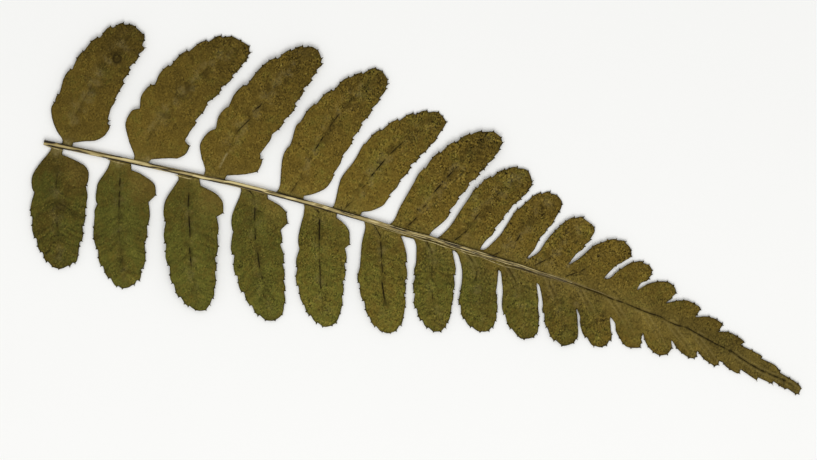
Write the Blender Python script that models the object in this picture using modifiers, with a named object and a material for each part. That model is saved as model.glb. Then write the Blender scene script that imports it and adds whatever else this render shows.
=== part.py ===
"""Pressed fern frond: a grooved stalk with toothed leaflets along both sides, lying flat.

The measurements below are in millimetres on the frond itself: x runs from the cut end of the stalk
towards the tip, and y to the left of it. The model is in metres, with its origin on the ground under
the middle of the frond, +X towards the tip and +Z up.
"""
import math
import random
from collections import namedtuple
from functools import cache

import bpy
import bmesh
import numpy as np
from mathutils import Vector
from mathutils.geometry import delaunay_2d_cdt, intersect_point_line

NAME = "frond"
MM = 0.001

# Extent of the frond, whose middle is the model's origin.
SPAN_X = (-0.93, 159.1)
SPAN_Y = (-23.27, 34.85)

# Stalk: its centre line, how its section shrinks towards the tip, and that section at full size,
# across to the right of the line and up from it.
STALK_LINE = [
    (-0.1, 0.1), (10, 1.1), (20, 2.0), (30, 3.0), (40, 4.0), (52, 4.75), (65, 5.2), (80, 5.65),
    (95, 5.8), (110, 5.85), (120, 5.45), (131, 4.5), (140, 3.3), (150, 1.3), (157, 0.4),
]
STALK_STEP = 4.0
STALK_TAPER = [(0, 1.0), (90, 0.95), (130, 0.65), (157, 0.4)]
STALK_UNDERSIDE = 0.62
STALK_SECTION = [
    (-0.30, -0.62), (-0.48, -0.35), (-0.52, 0.05), (-0.42, 0.45), (-0.20, 0.62), (0.04, 0.50),
    (0.15, 0.30), (0.26, 0.44), (0.37, 0.50), (0.50, 0.22), (0.48, -0.35), (0.30, -0.62),
]

# Blade: one thin sheet, which all the leaflets share and the stalk runs through.
THICKNESS = 0.62
ATTACH_HEIGHT = 0.25        # underside of the sheet where it meets the full-size stalk
WING = 0.2                  # half width of the sheet between two separate leaflets, inside the stalk
FREE_FOOT = 1.0             # a foot nearer than this to the stalk's centre line is a separate one
VEIN_STEP = 2.6             # spacing of the points along a midrib
VEIN_LEAN = 0.5             # lean of the points beside it towards the leaflet's apex
LONGEST_VEIN = 2.5          # in half widths; past it a vein has left its own leaflet
EDGE_CLEARANCE = 0.45       # an inner point stays this far from the margin
NEAREST_POINTS = 0.12       # points of the margin nearer to each other than this are one
TOLERANCE = 1e-6            # points nearer to each other than this are the same point

# Teeth: past its tip the margin steps in, then swells again on its way to the next tip.
STEP_INWARD = 0.75
STEP_FORWARD = 0.65
SWELL = 0.07
SWELL_PLACE = 0.6
SHORTEST_SWELL = 1.6

# Relief of a leaflet, for one as long as LONGEST; a shorter one has less in proportion.
LONGEST = 30.0
ARCH = (0.5, 1.5)           # rise half way along the midrib
TIP_LIFT = (0.25, 0.9)      # height of the tip, where it doesn't touch the ground
TIPS_DOWN = 3               # every third leaflet has its tip on the ground
CURL = (0.25, 0.6)          # fall of the margin below the midrib
TWIST = (-0.3, 0.3)
CURL_START = 1 / 3          # share of the leaflet's length over which its curl sets in
MIDRIB_DEPTH = 0.12
MIDRIB_WIDTH = 0.02         # share of the half width that counts as the midrib itself
SEED = 11

LEAF_COLOUR = (0.098, 0.074, 0.016, 1.0)
LEAF_ROUGHNESS = 0.75

# A leaflet has its midrib, from the stalk over its middle to its apex, and its left and right
# margins, each from the foot to the apex. A third number on a point makes it the tip of a tooth,
# and says how far the margin steps in past it. A foot that starts off the stalk, where two leaflets
# have grown together, is listed once, at the end of the earlier leaflet's right margin.
Leaflet = namedtuple("Leaflet", "midrib left right")

UPPER = [
    Leaflet([(4.4, 0.7), (5.2, 13), (10, 27.1)],
            [(3.3, 1), (3.1, 1.7), (1.4, 3.1), (0, 4.9), (-0.9, 6.9), (-0.7, 8.3, 0.15),
             (-0.5, 10, 0.4), (-0.35, 13.1), (0.4, 15.6, 0.4), (1.6, 19.8, 0.25), (3.5, 23.3, 0.55),
             (5.3, 26.25, 0.6), (7.6, 27.75, 0.5), (9.7, 27.8, 0.4)],
            [(5.6, 1.1), (5.5, 1.7), (7.5, 2.65), (9.4, 3.4), (10.6, 4.4), (11.15, 5.3),
             (11.4, 7.4, 0.6), (11.05, 8.25, 0.5), (10.6, 10.7), (10.9, 12.6, 0.15), (11.2, 14.8),
             (11.55, 16.2, 0.65), (11.8, 19.1, 0.55), (12.7, 22.2, 0.4), (13.3, 24.25, 0.75),
             (12.6, 26), (12.1, 26.7)]),
    Leaflet([(19, 2.5), (21.8, 15.5), (30.3, 31.3)],
            [(17.9, 2.4), (17.7, 3.2), (16.1, 5.2), (14.4, 7.9), (14.1, 9.5), (14.8, 11.8, 1.3),
             (15.45, 14.7), (16.6, 17.6, 0.8), (17.5, 19.9), (18.75, 22.3, 0.4),
             (21.3, 26.35, 0.5), (24.3, 29.5, 0.6), (26.9, 31.35, 0.5), (29.4, 31.85, 0.4)],
            [(21.1, 2.8), (21.4, 3.4), (24.7, 4.7), (26.3, 5.2), (27.5, 6.4), (27.8, 8.4, 1.4),
             (27.2, 11.6), (27.65, 13.2, 0.45), (28.6, 17.4, 0.25), (30.4, 20.9, 0.45),
             (31.8, 24, 0.45), (32.7, 26.6, 0.2), (33.45, 28.7, 0.4), (33.85, 30, 0.6),
             (33, 31.1, 0.1)]),
    Leaflet([(34.6, 4.2), (37.4, 17), (45.2, 34.3)],
            [(32.1, 3.7), (32.05, 4.85), (30.6, 7), (29.6, 9.3), (30.1, 11.5), (31.2, 13, 0.55),
             (31.4, 15.5), (32.5, 18.1, 0.3), (33, 20.6), (34.4, 23.3, 0.5), (35.9, 26.5),
             (38.65, 30.45, 0.5), (40.9, 32.85, 0.3), (43, 34.35, 0.35), (45.1, 34.8, 0.45)],
            [(36.6, 4.4), (36.8, 5.05), (38.8, 5.8), (40.6, 6.6), (42.3, 7.6), (42.6, 9.2),
             (42.5, 10.5, 0.55), (41.9, 11.05, 0.3), (42.3, 12.9), (42.85, 15.5, 0.15),
             (44.35, 18.7, 0.35), (45.6, 22.5, 0.55), (46.15, 25.8, 0.5), (47.05, 28.4, 0.4),
             (47.4, 30.5, 0.2), (48.05, 32.2, 0.5), (47.65, 33.3, 0.35), (46.4, 34.4)]),
    Leaflet([(49.8, 5), (52.3, 18), (59, 34.1)],
            [(46.7, 4.8), (47.3, 6.1), (46.6, 9.3), (46.1, 11.9), (46.8, 15, 0.1), (46.7, 18.4),
             (47.3, 19.9, 0.1), (48.85, 24.05, 0.35), (51.2, 27.8, 0.5), (53.65, 31.35, 0.35),
             (55.8, 32.95, 0.4), (58, 34.6, 0.6)],
            [(52.8, 5.2), (52.7, 5.9), (54.4, 6.9), (56.2, 8.6), (56.9, 10.4), (57, 11.8, 0.25),
             (57.5, 15.8, 0.15), (58.4, 19.7, 0.3), (59.2, 23, 0.35), (60.25, 26.4, 0.35),
             (61.05, 28.9, 0.3), (61.6, 31.4, 0.25), (61.7, 32.5, 0.3), (61.3, 33.3), (59.7, 34.5)]),
    Leaflet([(61, 5.6), (65, 16.5), (73.4, 29.9)],
            [(58.2, 5.3), (58.8, 6.3), (58.5, 10), (58.6, 12.1), (59.9, 15.7), (60.6, 19.3),
             (61, 19.8, 0.1), (62.9, 23.3, 0.4), (65.6, 26.3, 0.45), (68.15, 28.5, 0.5),
             (70.65, 29.9, 0.5), (72.95, 30.3, 0.35)],
            [(64.5, 5.6), (64.7, 6.4), (66.3, 7.2), (68.1, 8.8), (68.6, 10), (68.9, 11.1, 0.3),
             (69.95, 14.7, 0.2), (71.15, 17.95, 0.5), (72.15, 20.4, 0.3), (73.4, 23, 0.2),
             (74.4, 25.1, 0.2), (75.05, 27.8), (75.2, 28.85), (74.2, 29.6)]),
    Leaflet([(73.8, 6), (77.6, 15.8), (85.4, 29.6)],
            [(70.2, 5.8), (71.1, 6.9), (71.5, 10), (72.5, 14.7), (73.65, 18.65, 0.25),
             (75.5, 22.6, 0.35), (77.8, 25.55, 0.3), (80.2, 28, 0.3), (82.3, 29.3, 0.25),
             (84.6, 29.95)],
            [(78.9, 6.2), (79.2, 7.1), (80.8, 9.7), (81.5, 11.9, 0.45), (82.2, 15, 0.25),
             (83.35, 18.2, 0.4), (84.65, 20.8, 0.3), (85.55, 23.1, 0.25), (86.5, 24.9, 0.25),
             (87, 26.9, 0.2), (87.25, 28.5, 0.35), (86.5, 29.3, 0.1)]),
    Leaflet([(83, 6.2), (87.2, 14), (93.4, 24.3)],
            [(79.9, 6.2), (80.9, 6.8), (82.1, 9.2), (83.1, 12.7), (84.1, 16.2), (84.7, 18.15, 0.25),
             (86.75, 21.15, 0.35), (89, 23.5, 0.2), (91.3, 24.7, 0.3), (93, 24.8, 0.35)],
            [(89.3, 6.85), (90, 8.7), (91.1, 11.3, 0.35), (92, 14.15, 0.25), (93.05, 16.6, 0.45),
             (94.1, 18.7, 0.25), (95, 20.8, 0.15), (95.45, 22.2, 0.3), (95.2, 23, 0.25),
             (94.1, 24.25)]),
    Leaflet([(92, 6), (96.1, 12.5), (100, 21.6)],
            [(89.9, 6.9), (90.7, 7.7), (92.1, 10.5), (92.7, 12.5), (93.9, 16.8, 0.3), (95.7, 19.5),
             (97.3, 21.3, 0.35), (99.15, 22.15, 0.4), (100.6, 21.8, 0.1)],
            [(98.95, 8.05), (99.7, 10), (100.1, 12.5), (100.9, 14.5, 0.15), (101.75, 16.5, 0.15),
             (102.25, 19.3), (101.9, 21, 0.2)]),
    Leaflet([(100.5, 6.2), (104, 12), (107.7, 18.8)],
            [(99.4, 8.5), (100.6, 10), (101.5, 13), (103, 16.1), (105.2, 18.7, 0.3),
             (107.05, 19.35, 0.35), (109, 18.4)],
            [(107.1, 9.35), (108, 11.8), (109.1, 13.7, 0.3), (109.85, 15.4, 0.2), (110.05, 17.1),
             (109.7, 18)]),
    Leaflet([(107.5, 6.2), (111.8, 10.9), (116.2, 16.8)],
            [(107.5, 9.7), (108.8, 11.4), (110.6, 14.4), (112, 15.6), (114.6, 17.15, 0.2),
             (116.6, 17.3, 0.3), (117.7, 16.4)],
            [(114.8, 9), (115.85, 10.6, 0.15), (117.1, 12.5, 0.25), (118.25, 13.9, 0.2),
             (118.65, 14.7), (118.1, 15.9)]),
    Leaflet([(113.5, 6.1), (118, 9.8), (122, 14)],
            [(115.7, 9.4), (116.5, 10.8), (118, 12.95), (119.2, 13.9, 0.15), (121.1, 14.55, 0.3),
             (122.6, 14.1)],
            [(121.75, 8.85), (122.1, 10.2), (123.35, 11.5, 0.3), (123.8, 12.65, 0.3),
             (123.5, 13.4)]),
    Leaflet([(120, 5.7), (124.5, 9), (128.5, 11.5)],
            [(122.6, 9.8), (123.6, 10.8), (125.9, 11.95), (127.6, 12.1), (128.9, 11.4)],
            [(128.1, 8.1), (129.05, 9.3, 0.3), (129.45, 10.5, 0.4)]),
    Leaflet([(126.5, 5), (130.5, 7.6), (134.5, 9.2)],
            [(129, 8.7), (130.5, 9.4), (132.1, 9.85), (134.5, 9.5)],
            [(134.55, 7.2), (135.1, 8.9)]),
    Leaflet([(132.5, 4.4), (136.3, 6.4), (139.9, 7.5)],
            [(135.2, 7.55), (136.3, 7.9), (138.2, 8.15), (140, 7.7)],
            [(139.8, 5.9), (140.3, 7.3)]),
    Leaflet([(138.5, 3.5), (141.7, 4.9), (145.1, 5.5)],
            [(141.9, 6.45), (144.7, 5.9)],
            [(144.9, 4.75), (145.5, 5.4)]),
]

LOWER = [
    Leaflet([(2.7, 0), (5.2, -8.5), (10.9, -22.7)],
            [(1.6, -0.3), (1.5, -1.1), (1.1, -2.3), (0.1, -5), (-0.3, -7.3), (0.8, -9.95, 0.35),
             (1.9, -14.75, 0.35), (3.95, -18.75, 0.45), (5.95, -21.1, 0.45), (7.7, -22.6, 0.35),
             (9.6, -23.2, 0.25)],
            [(4, -0.2), (4.1, -1.1), (7.1, -1.45), (9, -1.85), (10.2, -2.8), (10.7, -5.6, 0.15),
             (11.75, -8.6, 0.05), (12.05, -9.8, 0.25), (12.6, -13.3, 0.25), (13.25, -16.4, 0.45),
             (13.5, -20), (13.3, -21.1, 0.5), (12.5, -22.1, 0.4), (11, -23)]),
    Leaflet([(15.5, 1.4), (18.3, -8), (24.3, -22.4)],
            [(13.4, 1), (13.5, -0.9), (12.6, -4.3), (12.75, -5.8), (13.5, -8.25, 0.3),
             (13.9, -10.9, 0.1), (16.35, -17, 0.35), (18.3, -20, 0.4), (20.5, -21.9, 0.4),
             (22.6, -23, 0.3), (23.8, -23, 0.15)],
            [(17.6, 1.4), (18.3, 0.2), (20, 0.1), (22.3, -0.5), (23.7, -1.3), (24.5, -3.1),
             (23.55, -4.9), (24.85, -9.2, 0.25), (25.35, -12.5, 0.25), (26.6, -17.8, 0.5),
             (26.65, -20.4, 0.6), (25.95, -21.65, 0.3), (24.9, -22.4)]),
    Leaflet([(29.3, 2.8), (33.2, -8), (39.9, -22)],
            [(27.2, 2.3), (27.7, 1.1), (26.8, -2.1), (26.5, -4), (27.7, -7.5, 0.25),
             (29.05, -11.65, 0.3), (31, -15.7, 0.45), (32.9, -18.85, 0.4), (35, -21.1, 0.45),
             (37.4, -22.25, 0.3), (39, -22.5)],
            [(31.6, 2.6), (32.4, 1.5), (35.5, 1), (37.1, 0.2), (37.8, -0.6), (38.45, -2.4),
             (37.45, -3.5), (38.75, -6.7, 0.15), (39.75, -11.1, 0.3), (40.65, -13.6, 0.35),
             (41.4, -17, 0.15), (41.75, -19.1, 0.25), (41.55, -20.6, 0.15), (41.05, -21.8),
             (40.2, -22.3)]),
    Leaflet([(41.6, 4), (46.6, -6.5), (53.8, -19.7)],
            [(39.8, 3.6), (40.3, 2.4), (40.05, -1.8), (41.1, -5.1, 0.2), (41.5, -7),
             (42.5, -9.65, 0.5), (44.4, -13.4, 0.5), (46.6, -16.25, 0.5), (49.05, -18.3, 0.4),
             (51.2, -19.7, 0.35), (52.9, -20.2, 0.1)],
            [(45.5, 3.9), (46, 3.2), (48.5, 2.7), (50.3, 1.8), (51.25, -0.3), (50.3, -2),
             (51.35, -4.3, 0.5), (52.95, -8, 0.35), (54.05, -11.1, 0.25), (54.9, -13.2, 0.3),
             (55.65, -15.6, 0.15), (55.85, -17.5), (55.4, -18.8), (54.4, -19.8)]),
    Leaflet([(55, 4.8), (59.4, -4.5), (64.8, -17.2)],
            [(52.8, 4.4), (53.5, 3), (53.8, -0.9), (54.2, -3.1), (54.9, -4.5), (55.45, -8, 0.25),
             (56.7, -11.5, 0.35), (59.1, -14.75, 0.15), (60.9, -16.45, 0.35), (62.8, -17.5, 0.3),
             (64.2, -17.8)],
            [(60, 4.7), (60.2, 3.9), (62, 3.15), (63.3, 2.2), (63.9, 0.9), (64.35, -0.5),
             (63.7, -1.5), (64.8, -4.1, 0.4), (65.5, -7.5, 0.4), (66.15, -10.4, 0.25),
             (66.7, -12.9, 0.1), (66.75, -14.9), (66.6, -16.2), (65.4, -17.4)]),
    Leaflet([(67.5, 5.1), (72.2, -3.5), (77.4, -14.6)],
            [(65.2, 4.9), (66.1, 3.5), (66.5, 0.2), (67.5, -4), (68.15, -7.25, 0.4),
             (70.15, -10.3, 0.35), (72.2, -12.95, 0.15), (74.05, -14.5, 0.3), (75.9, -15.15, 0.15),
             (77.1, -15)],
            [(73.6, 5), (74.4, 3.3), (75.8, 1.1), (76.25, -0.3, 0.35), (77.3, -3.5, 0.4),
             (77.85, -6.3, 0.2), (78.7, -8.9, 0.1), (79.05, -11.2), (79.15, -12.7, 0.45),
             (78.5, -14)]),
    Leaflet([(78, 5.5), (82.5, -3), (86.5, -11.3)],
            [(76.1, 5.1), (76.9, 3.4), (77.9, 0.2), (78.35, -2.25, 0.25), (79.35, -5.65, 0.3),
             (80.55, -8.55, 0.4), (82.35, -10.45, 0.35), (84.1, -11.6, 0.3), (85.6, -11.9)],
            [(84.3, 4.75), (85.1, 3.2), (86.25, 0.35, 0.35), (86.95, -2.5, 0.25),
             (87.45, -5.2, 0.1), (87.9, -8), (87.85, -9.2, 0.3), (87.85, -10.45, 0.4),
             (87.05, -11.4, 0.2)]),
    Leaflet([(86.5, 5.5), (91.3, -0.8), (95.3, -8.3)],
            [(84.8, 4.8), (85.7, 3.9), (87.4, 0.9), (88.2, -3), (88.65, -5.15, 0.4),
             (90.4, -7.55, 0.25), (92.35, -8.7, 0.3), (93.8, -9), (95.1, -8.8)],
            [(94, 3.85), (94.7, 1.8), (95.1, -0.4), (95.85, -2.1, 0.1), (96.5, -4.1, 0.15),
             (96.85, -5.9, 0.15), (96.75, -7.4, 0.35), (96.15, -8.3, 0.2)]),
    Leaflet([(95, 5.6), (100, -0.6), (103.9, -7)],
            [(94.5, 3.6), (95.3, 2.2), (96.3, -0.2), (96.6, -1.6), (97.85, -4.15, 0.25),
             (100, -6.55, 0.25), (102.2, -7.65), (103.3, -7.65)],
            [(102.3, 3.7), (103.2, 1.6), (103.85, -0.2, 0.1), (104.45, -1.7, 0.1),
             (105.15, -3.9, 0.05), (105.45, -6, 0.15), (104.8, -6.9)]),
    Leaflet([(103.7, 5.6), (108.4, 0), (112, -5.8)],
            [(102.8, 3.4), (103.6, 2.1), (104.6, 0.1), (105.1, -1.55, 0.4), (106.7, -4.1, 0.2),
             (109, -6.15, 0.35), (110.8, -6.55), (111.6, -6.4)],
            [(111.4, 1.3), (112.2, -0.4), (113.3, -3.4), (113.35, -4.4, 0.2), (113, -5.35, 0.45)]),
    Leaflet([(110.5, 5.5), (115.2, 1), (118.6, -4)],
            [(111.8, 0.8), (112.4, 0.1), (112.9, -1.3), (114.7, -3.55, 0.35), (117, -4.75, 0.2),
             (118.2, -4.5, 0.35)],
            [(118.3, 1.75), (119, 0.1), (119.85, -1.8), (119.95, -2.6, 0.4), (119.4, -3.8, 0.5)]),
    Leaflet([(117.4, 5.2), (121.7, 1.8), (125, -2)],
            [(119.5, 0.9), (120.2, -0.5), (121.2, -1.55, 0.1), (122.3, -2.4), (123.5, -2.8),
             (125, -2.5)],
            [(125.4, 0.75), (125.6, -0.2, 0.2), (126.1, -1.1, 0.4), (126.05, -2.1)]),
    Leaflet([(124.5, 4.6), (128.3, 1.7), (131.2, -1.5)],
            [(126.9, -1.1), (128.6, -2.1), (130.1, -2.4), (131.5, -1.7, 0.1)],
            [(131.4, 1.15), (132.05, -0.15)]),
    Leaflet([(130.3, 4), (133.8, 1.8), (136.8, -0.5)],
            [(133, 0), (135.4, -0.95), (136.85, -0.85)],
            [(137, 0.75), (137.25, -0.25)]),
    Leaflet([(136, 3.4), (139, 1.4), (141.6, -0.6)],
            [(138.7, -0.3), (141.1, -1.05)],
            [(141.8, 0.2), (142, -0.55)]),
]

# Margin of the frond's tip, from the last upper leaflet round to the last lower one.
TIP = [
    (149.2, 4.1), (149.65, 3.8), (149.6, 3.45), (152.4, 3.1), (153.95, 2.3), (154.1, 1.9),
    (156.8, 1.35), (158.5, 0.8), (159.1, 0.15), (158.95, -1.1), (158.3, -1.4), (156.4, -0.85),
    (155.9, -1.05), (153.3, -0.35), (153.45, -1.05), (152.8, -0.85), (150.2, -0.55),
    (150.15, -1.2), (148, -0.6), (146.4, -0.1), (146.4, -0.8), (145.7, -1.05), (143.3, -0.45),
    (142.6, 0.1),
]
TIP_MIDRIB = [(145, 2.4), (150, 1.3), (154, 0.8), (157, 0.2)]


def curve_through(points, step):
    """Points about `step` apart on the smooth curve through the given points."""
    ends = [2 * points[0] - points[1], *points, 2 * points[-1] - points[-2]]
    line = []
    for before, start, end, after in zip(ends, ends[1:], ends[2:], ends[3:]):
        count = max(1, round((end - start).length / step))
        for i in range(count):
            t = i / count
            line.append(0.5 * (2 * start + (end - before) * t
                               + (2 * before - 5 * start + 4 * end - after) * t * t
                               + (3 * start - 3 * end + after - before) * t ** 3))
    return line + [points[-1]]


def vectors(points):
    return [Vector(point[:2]) for point in points]


@cache
def stalk_y(x):
    """Where the stalk's centre line runs in the plan at the station x."""
    line = curve_through(vectors(STALK_LINE), STALK_STEP / 4)
    return float(np.interp(x, [p.x for p in line], [p.y for p in line]))


def stalk_scale(x):
    stations, scales = zip(*STALK_TAPER)
    return float(np.interp(x, stations, scales))


def attached_height(spot):
    """Height of the sheet's underside where the stalk carries it."""
    return ATTACH_HEIGHT * stalk_scale(spot.x)


def place(x, y, z):
    """A point on the frond, in millimetres, as a point of the model in metres."""
    return Vector((x - sum(SPAN_X) / 2, y - sum(SPAN_Y) / 2, z)) * MM


def toothed(points, blade_side):
    """A margin from foot to apex; blade_side is 1 with the blade on its left and -1 on its right."""
    line = []
    for here, after in zip(points, points[1:] + points[-1:]):
        tip = Vector(here[:2])
        is_tooth = len(here) == 3
        if is_tooth and line and (tip - line[-1]).length > SHORTEST_SWELL:
            run = tip - line[-1]
            outward = Vector((run.y, -run.x)) * blade_side
            line.append(line[-1] + run * SWELL_PLACE + outward * SWELL)
        line.append(tip)
        if is_tooth and after is not here:
            onward = (Vector(after[:2]) - tip).normalized()
            inward = Vector((-onward.y, onward.x)) * blade_side
            line.append(tip + (inward * STEP_INWARD + onward * STEP_FORWARD) * here[2])
    return line


def rooted(line, side):
    """The margin, begun inside the stalk where its foot reaches the stalk."""
    foot = line[0]
    centre = stalk_y(foot.x)
    if abs(foot.y - centre) > FREE_FOOT:
        return line
    return [Vector((foot.x, centre + side * WING))] + line


class Blade:
    """One leaflet's margin, midrib and relief, in millimetres."""

    def __init__(self, leaflet, side, number, draw):
        self.side = side
        left = rooted(toothed(leaflet.left, -side), side)
        right = rooted(toothed(leaflet.right, side), side)
        self.outline = left + right[::-1]
        self.midrib = curve_through(vectors(leaflet.midrib), VEIN_STEP)
        self.length = sum((b - a).length for a, b in zip(self.midrib, self.midrib[1:]))
        self.half_width = max(abs(self.across(p)) for p in self.outline)
        size = self.length / LONGEST
        self.arch = draw.uniform(*ARCH) * size
        self.lift = 0.0 if number % TIPS_DOWN == 1 else draw.uniform(*TIP_LIFT) * size
        self.curl = draw.uniform(*CURL) * size
        self.twist = draw.uniform(*TWIST) * size

    def nearest(self, point):
        """Distance along the midrib and signed distance from it, of the nearest place on it."""
        best = None
        along = 0.0
        for a, b in zip(self.midrib, self.midrib[1:]):
            foot, share = intersect_point_line(point, a, b)
            share = min(max(share, 0.0), 1.0)
            run = b - a
            off = point - (a + run * share)
            if best is None or off.length < abs(best[1]):
                turn = run.x * off.y - run.y * off.x
                best = (along + run.length * share, math.copysign(off.length, turn))
            along += run.length
        return best

    def across(self, point):
        return self.nearest(point)[1]

    def underside(self, point):
        """Height of the blade's underside over the ground."""
        along, off = self.nearest(point)
        t = along / self.length
        w = off / self.half_width
        freed = t * t * (3 - 2 * t)
        curling = min(1.0, t / CURL_START)
        height = attached_height(point) * (1 - freed) + self.lift * freed
        height += self.arch * math.sin(math.pi * t) + freed * self.twist * w
        height -= curling * self.curl * w * w
        if abs(w) < MIDRIB_WIDTH:
            height -= curling * MIDRIB_DEPTH
        return max(height, 0.0)

    def reach(self, point, way):
        """Distance from a point of the midrib to the margin, straight out along `way`."""
        nearest = math.inf
        for a, b in zip(self.outline, self.outline[1:]):
            run = b - a
            turn = way.x * run.y - way.y * run.x
            if abs(turn) < TOLERANCE:
                continue
            gap = a - point
            share = (gap.x * way.y - gap.y * way.x) / turn
            distance = (gap.x * run.y - gap.y * run.x) / turn
            if 0 <= share <= 1 and distance > 0:
                nearest = min(nearest, distance)
        return nearest

    def inner_points(self):
        """The midrib's points, and one half way from each of them to either margin."""
        ribs = []
        between = []
        for i, point in enumerate(self.midrib[1:-1], 1):
            if abs(point.y - stalk_y(point.x)) < FREE_FOOT:
                continue
            ribs.append(point)
            run = (self.midrib[i + 1] - self.midrib[i - 1]).normalized()
            for turn in (-1, 1):
                way = (Vector((-run.y, run.x)) * turn + run * VEIN_LEAN).normalized()
                reach = self.reach(point, way)
                if 2 * EDGE_CLEARANCE < reach < LONGEST_VEIN * self.half_width:
                    between.append(point + way * reach / 2)
        return ribs, between


def sheet_plan(blades_up, blades_down):
    """The blade's points in plan with their heights, its margin as indices, and its midribs."""
    spots = []
    heights = []
    margin = []

    def add(point, height):
        spots.append(point)
        heights.append(height)
        return len(spots) - 1

    def add_margin(point, height):
        if margin and (point - spots[margin[-1]]).length < NEAREST_POINTS:
            return
        margin.append(add(point, height))

    for blade in blades_up:
        for point in blade.outline:
            add_margin(point, blade.underside(point))
    for point in vectors(TIP):
        add_margin(point, attached_height(point))
    for blade in reversed(blades_down):
        for point in reversed(blade.outline):
            add_margin(point, blade.underside(point))

    ribs = []
    edge = [spots[i] for i in margin]
    for blade in blades_up + blades_down:
        rib_points, between = blade.inner_points()
        rib = [add(p, blade.underside(p)) for p in rib_points if clear_of(edge, p)]
        ribs += list(zip(rib, rib[1:]))
        for point in between:
            if clear_of(edge, point):
                add(point, blade.underside(point))
    rib = [add(p, attached_height(p)) for p in vectors(TIP_MIDRIB)]
    ribs += list(zip(rib, rib[1:]))
    return spots, heights, margin, ribs


def clear_of(edge, point):
    for a, b in zip(edge, edge[1:]):
        foot, share = intersect_point_line(point, a, b)
        foot = a + (b - a) * min(max(share, 0.0), 1.0)
        if (point - foot).length < EDGE_CLEARANCE:
            return False
    return True


def make_sheet(collection, material):
    """The blade: its underside as a sheet of triangles, thickened upwards."""
    draw = random.Random(SEED)
    up = [Blade(leaflet, 1, i, draw) for i, leaflet in enumerate(UPPER)]
    down = [Blade(leaflet, -1, i, draw) for i, leaflet in enumerate(LOWER)]
    spots, heights, margin, ribs = sheet_plan(up, down)
    anticlockwise = margin[::-1]
    plan, _, faces, sources, _, margins_round = delaunay_2d_cdt(
        spots, ribs, [anticlockwise], 0, TOLERANCE, True)

    sheet = bmesh.new()
    corners = []
    for spot, source in zip(plan, sources):
        height = sum(heights[i] for i in source) / len(source) if source else attached_height(spot)
        corners.append(sheet.verts.new(place(spot.x, spot.y, height)))
    for face, inside in zip(faces, margins_round):
        if inside:
            sheet.faces.new([corners[i] for i in face])
    loose = [vert for vert in sheet.verts if not vert.link_faces]
    bmesh.ops.delete(sheet, geom=loose, context="VERTS")
    sheet.normal_update()
    if sum(face.normal.z for face in sheet.faces) < 0:
        bmesh.ops.reverse_faces(sheet, faces=sheet.faces)
    mesh = bpy.data.meshes.new("blade")
    sheet.to_mesh(mesh)
    sheet.free()

    blade = bpy.data.objects.new("blade", mesh)
    blade.data.materials.append(material)
    collection.objects.link(blade)
    solid = blade.modifiers.new("thickness", "SOLIDIFY")
    solid.thickness = THICKNESS * MM
    solid.offset = 1
    solid.use_even_offset = True
    return blade


def make_stalk(collection, material):
    """The grooved stalk: its section swept along its line, with its underside flat on the ground."""
    section_data = bpy.data.curves.new("stalk_section", "CURVE")
    section_data.dimensions = "2D"
    section = section_data.splines.new("POLY")
    section.points.add(len(STALK_SECTION) - 1)
    for point, (across, up) in zip(section.points, STALK_SECTION):
        point.co = (across * MM, up * MM, 0, 1)
    section.use_cyclic_u = True
    section_object = bpy.data.objects.new("stalk_section", section_data)
    collection.objects.link(section_object)

    curve = bpy.data.curves.new("stalk", "CURVE")
    curve.dimensions = "3D"
    curve.twist_mode = "Z_UP"
    curve.bevel_mode = "OBJECT"
    curve.bevel_object = section_object
    curve.use_fill_caps = True
    line = curve_through(vectors(STALK_LINE), STALK_STEP)
    spline = curve.splines.new("POLY")
    spline.points.add(len(line) - 1)
    for point, spot in zip(spline.points, line):
        scale = stalk_scale(spot.x)
        point.co = (*place(spot.x, spot.y, STALK_UNDERSIDE * scale), 1)
        point.radius = scale
    stalk_curve = bpy.data.objects.new("stalk_curve", curve)
    collection.objects.link(stalk_curve)

    mesh = evaluated_mesh(stalk_curve)
    weld(mesh)
    stalk = bpy.data.objects.new("stalk", mesh)
    stalk.matrix_world = stalk_curve.matrix_world
    stalk.data.materials.clear()
    stalk.data.materials.append(material)
    collection.objects.link(stalk)
    bpy.data.objects.remove(stalk_curve)
    bpy.data.objects.remove(section_object)
    return stalk


def evaluated_mesh(thing):
    bpy.context.view_layer.update()
    graph = bpy.context.evaluated_depsgraph_get()
    return bpy.data.meshes.new_from_object(thing.evaluated_get(graph))


def weld(mesh):
    work = bmesh.new()
    work.from_mesh(mesh)
    bmesh.ops.remove_doubles(work, verts=work.verts, dist=TOLERANCE)
    bmesh.ops.recalc_face_normals(work, faces=work.faces)
    work.to_mesh(mesh)
    work.free()


def make_material():
    material = bpy.data.materials.new("dry_leaf")
    material.use_nodes = True
    shader = material.node_tree.nodes["Principled BSDF"]
    shader.inputs["Base Color"].default_value = LEAF_COLOUR
    shader.inputs["Roughness"].default_value = LEAF_ROUGHNESS
    shader.inputs["Metallic"].default_value = 0.0
    return material


def grow_together(blade, stalk, collection):
    """Blade and stalk as one closed body."""
    joined = bpy.data.collections.new("grown_on")
    bpy.context.scene.collection.children.link(joined)
    collection.objects.unlink(stalk)
    joined.objects.link(stalk)
    union = blade.modifiers.new("grow_together", "BOOLEAN")
    union.operation = "UNION"
    union.operand_type = "COLLECTION"
    union.collection = joined
    union.solver = "EXACT"
    mesh = evaluated_mesh(blade)
    frond = bpy.data.objects.new(NAME, mesh)
    collection.objects.link(frond)
    bpy.data.objects.remove(blade)
    bpy.data.objects.remove(stalk)
    bpy.data.collections.remove(joined)
    return frond


def main():
    for thing in list(bpy.data.objects):
        bpy.data.objects.remove(thing)
    parts = bpy.data.collections.new(NAME)
    bpy.context.scene.collection.children.link(parts)
    material = make_material()
    blade = make_sheet(parts, material)
    stalk = make_stalk(parts, material)
    grow_together(blade, stalk, parts)


main()
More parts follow.
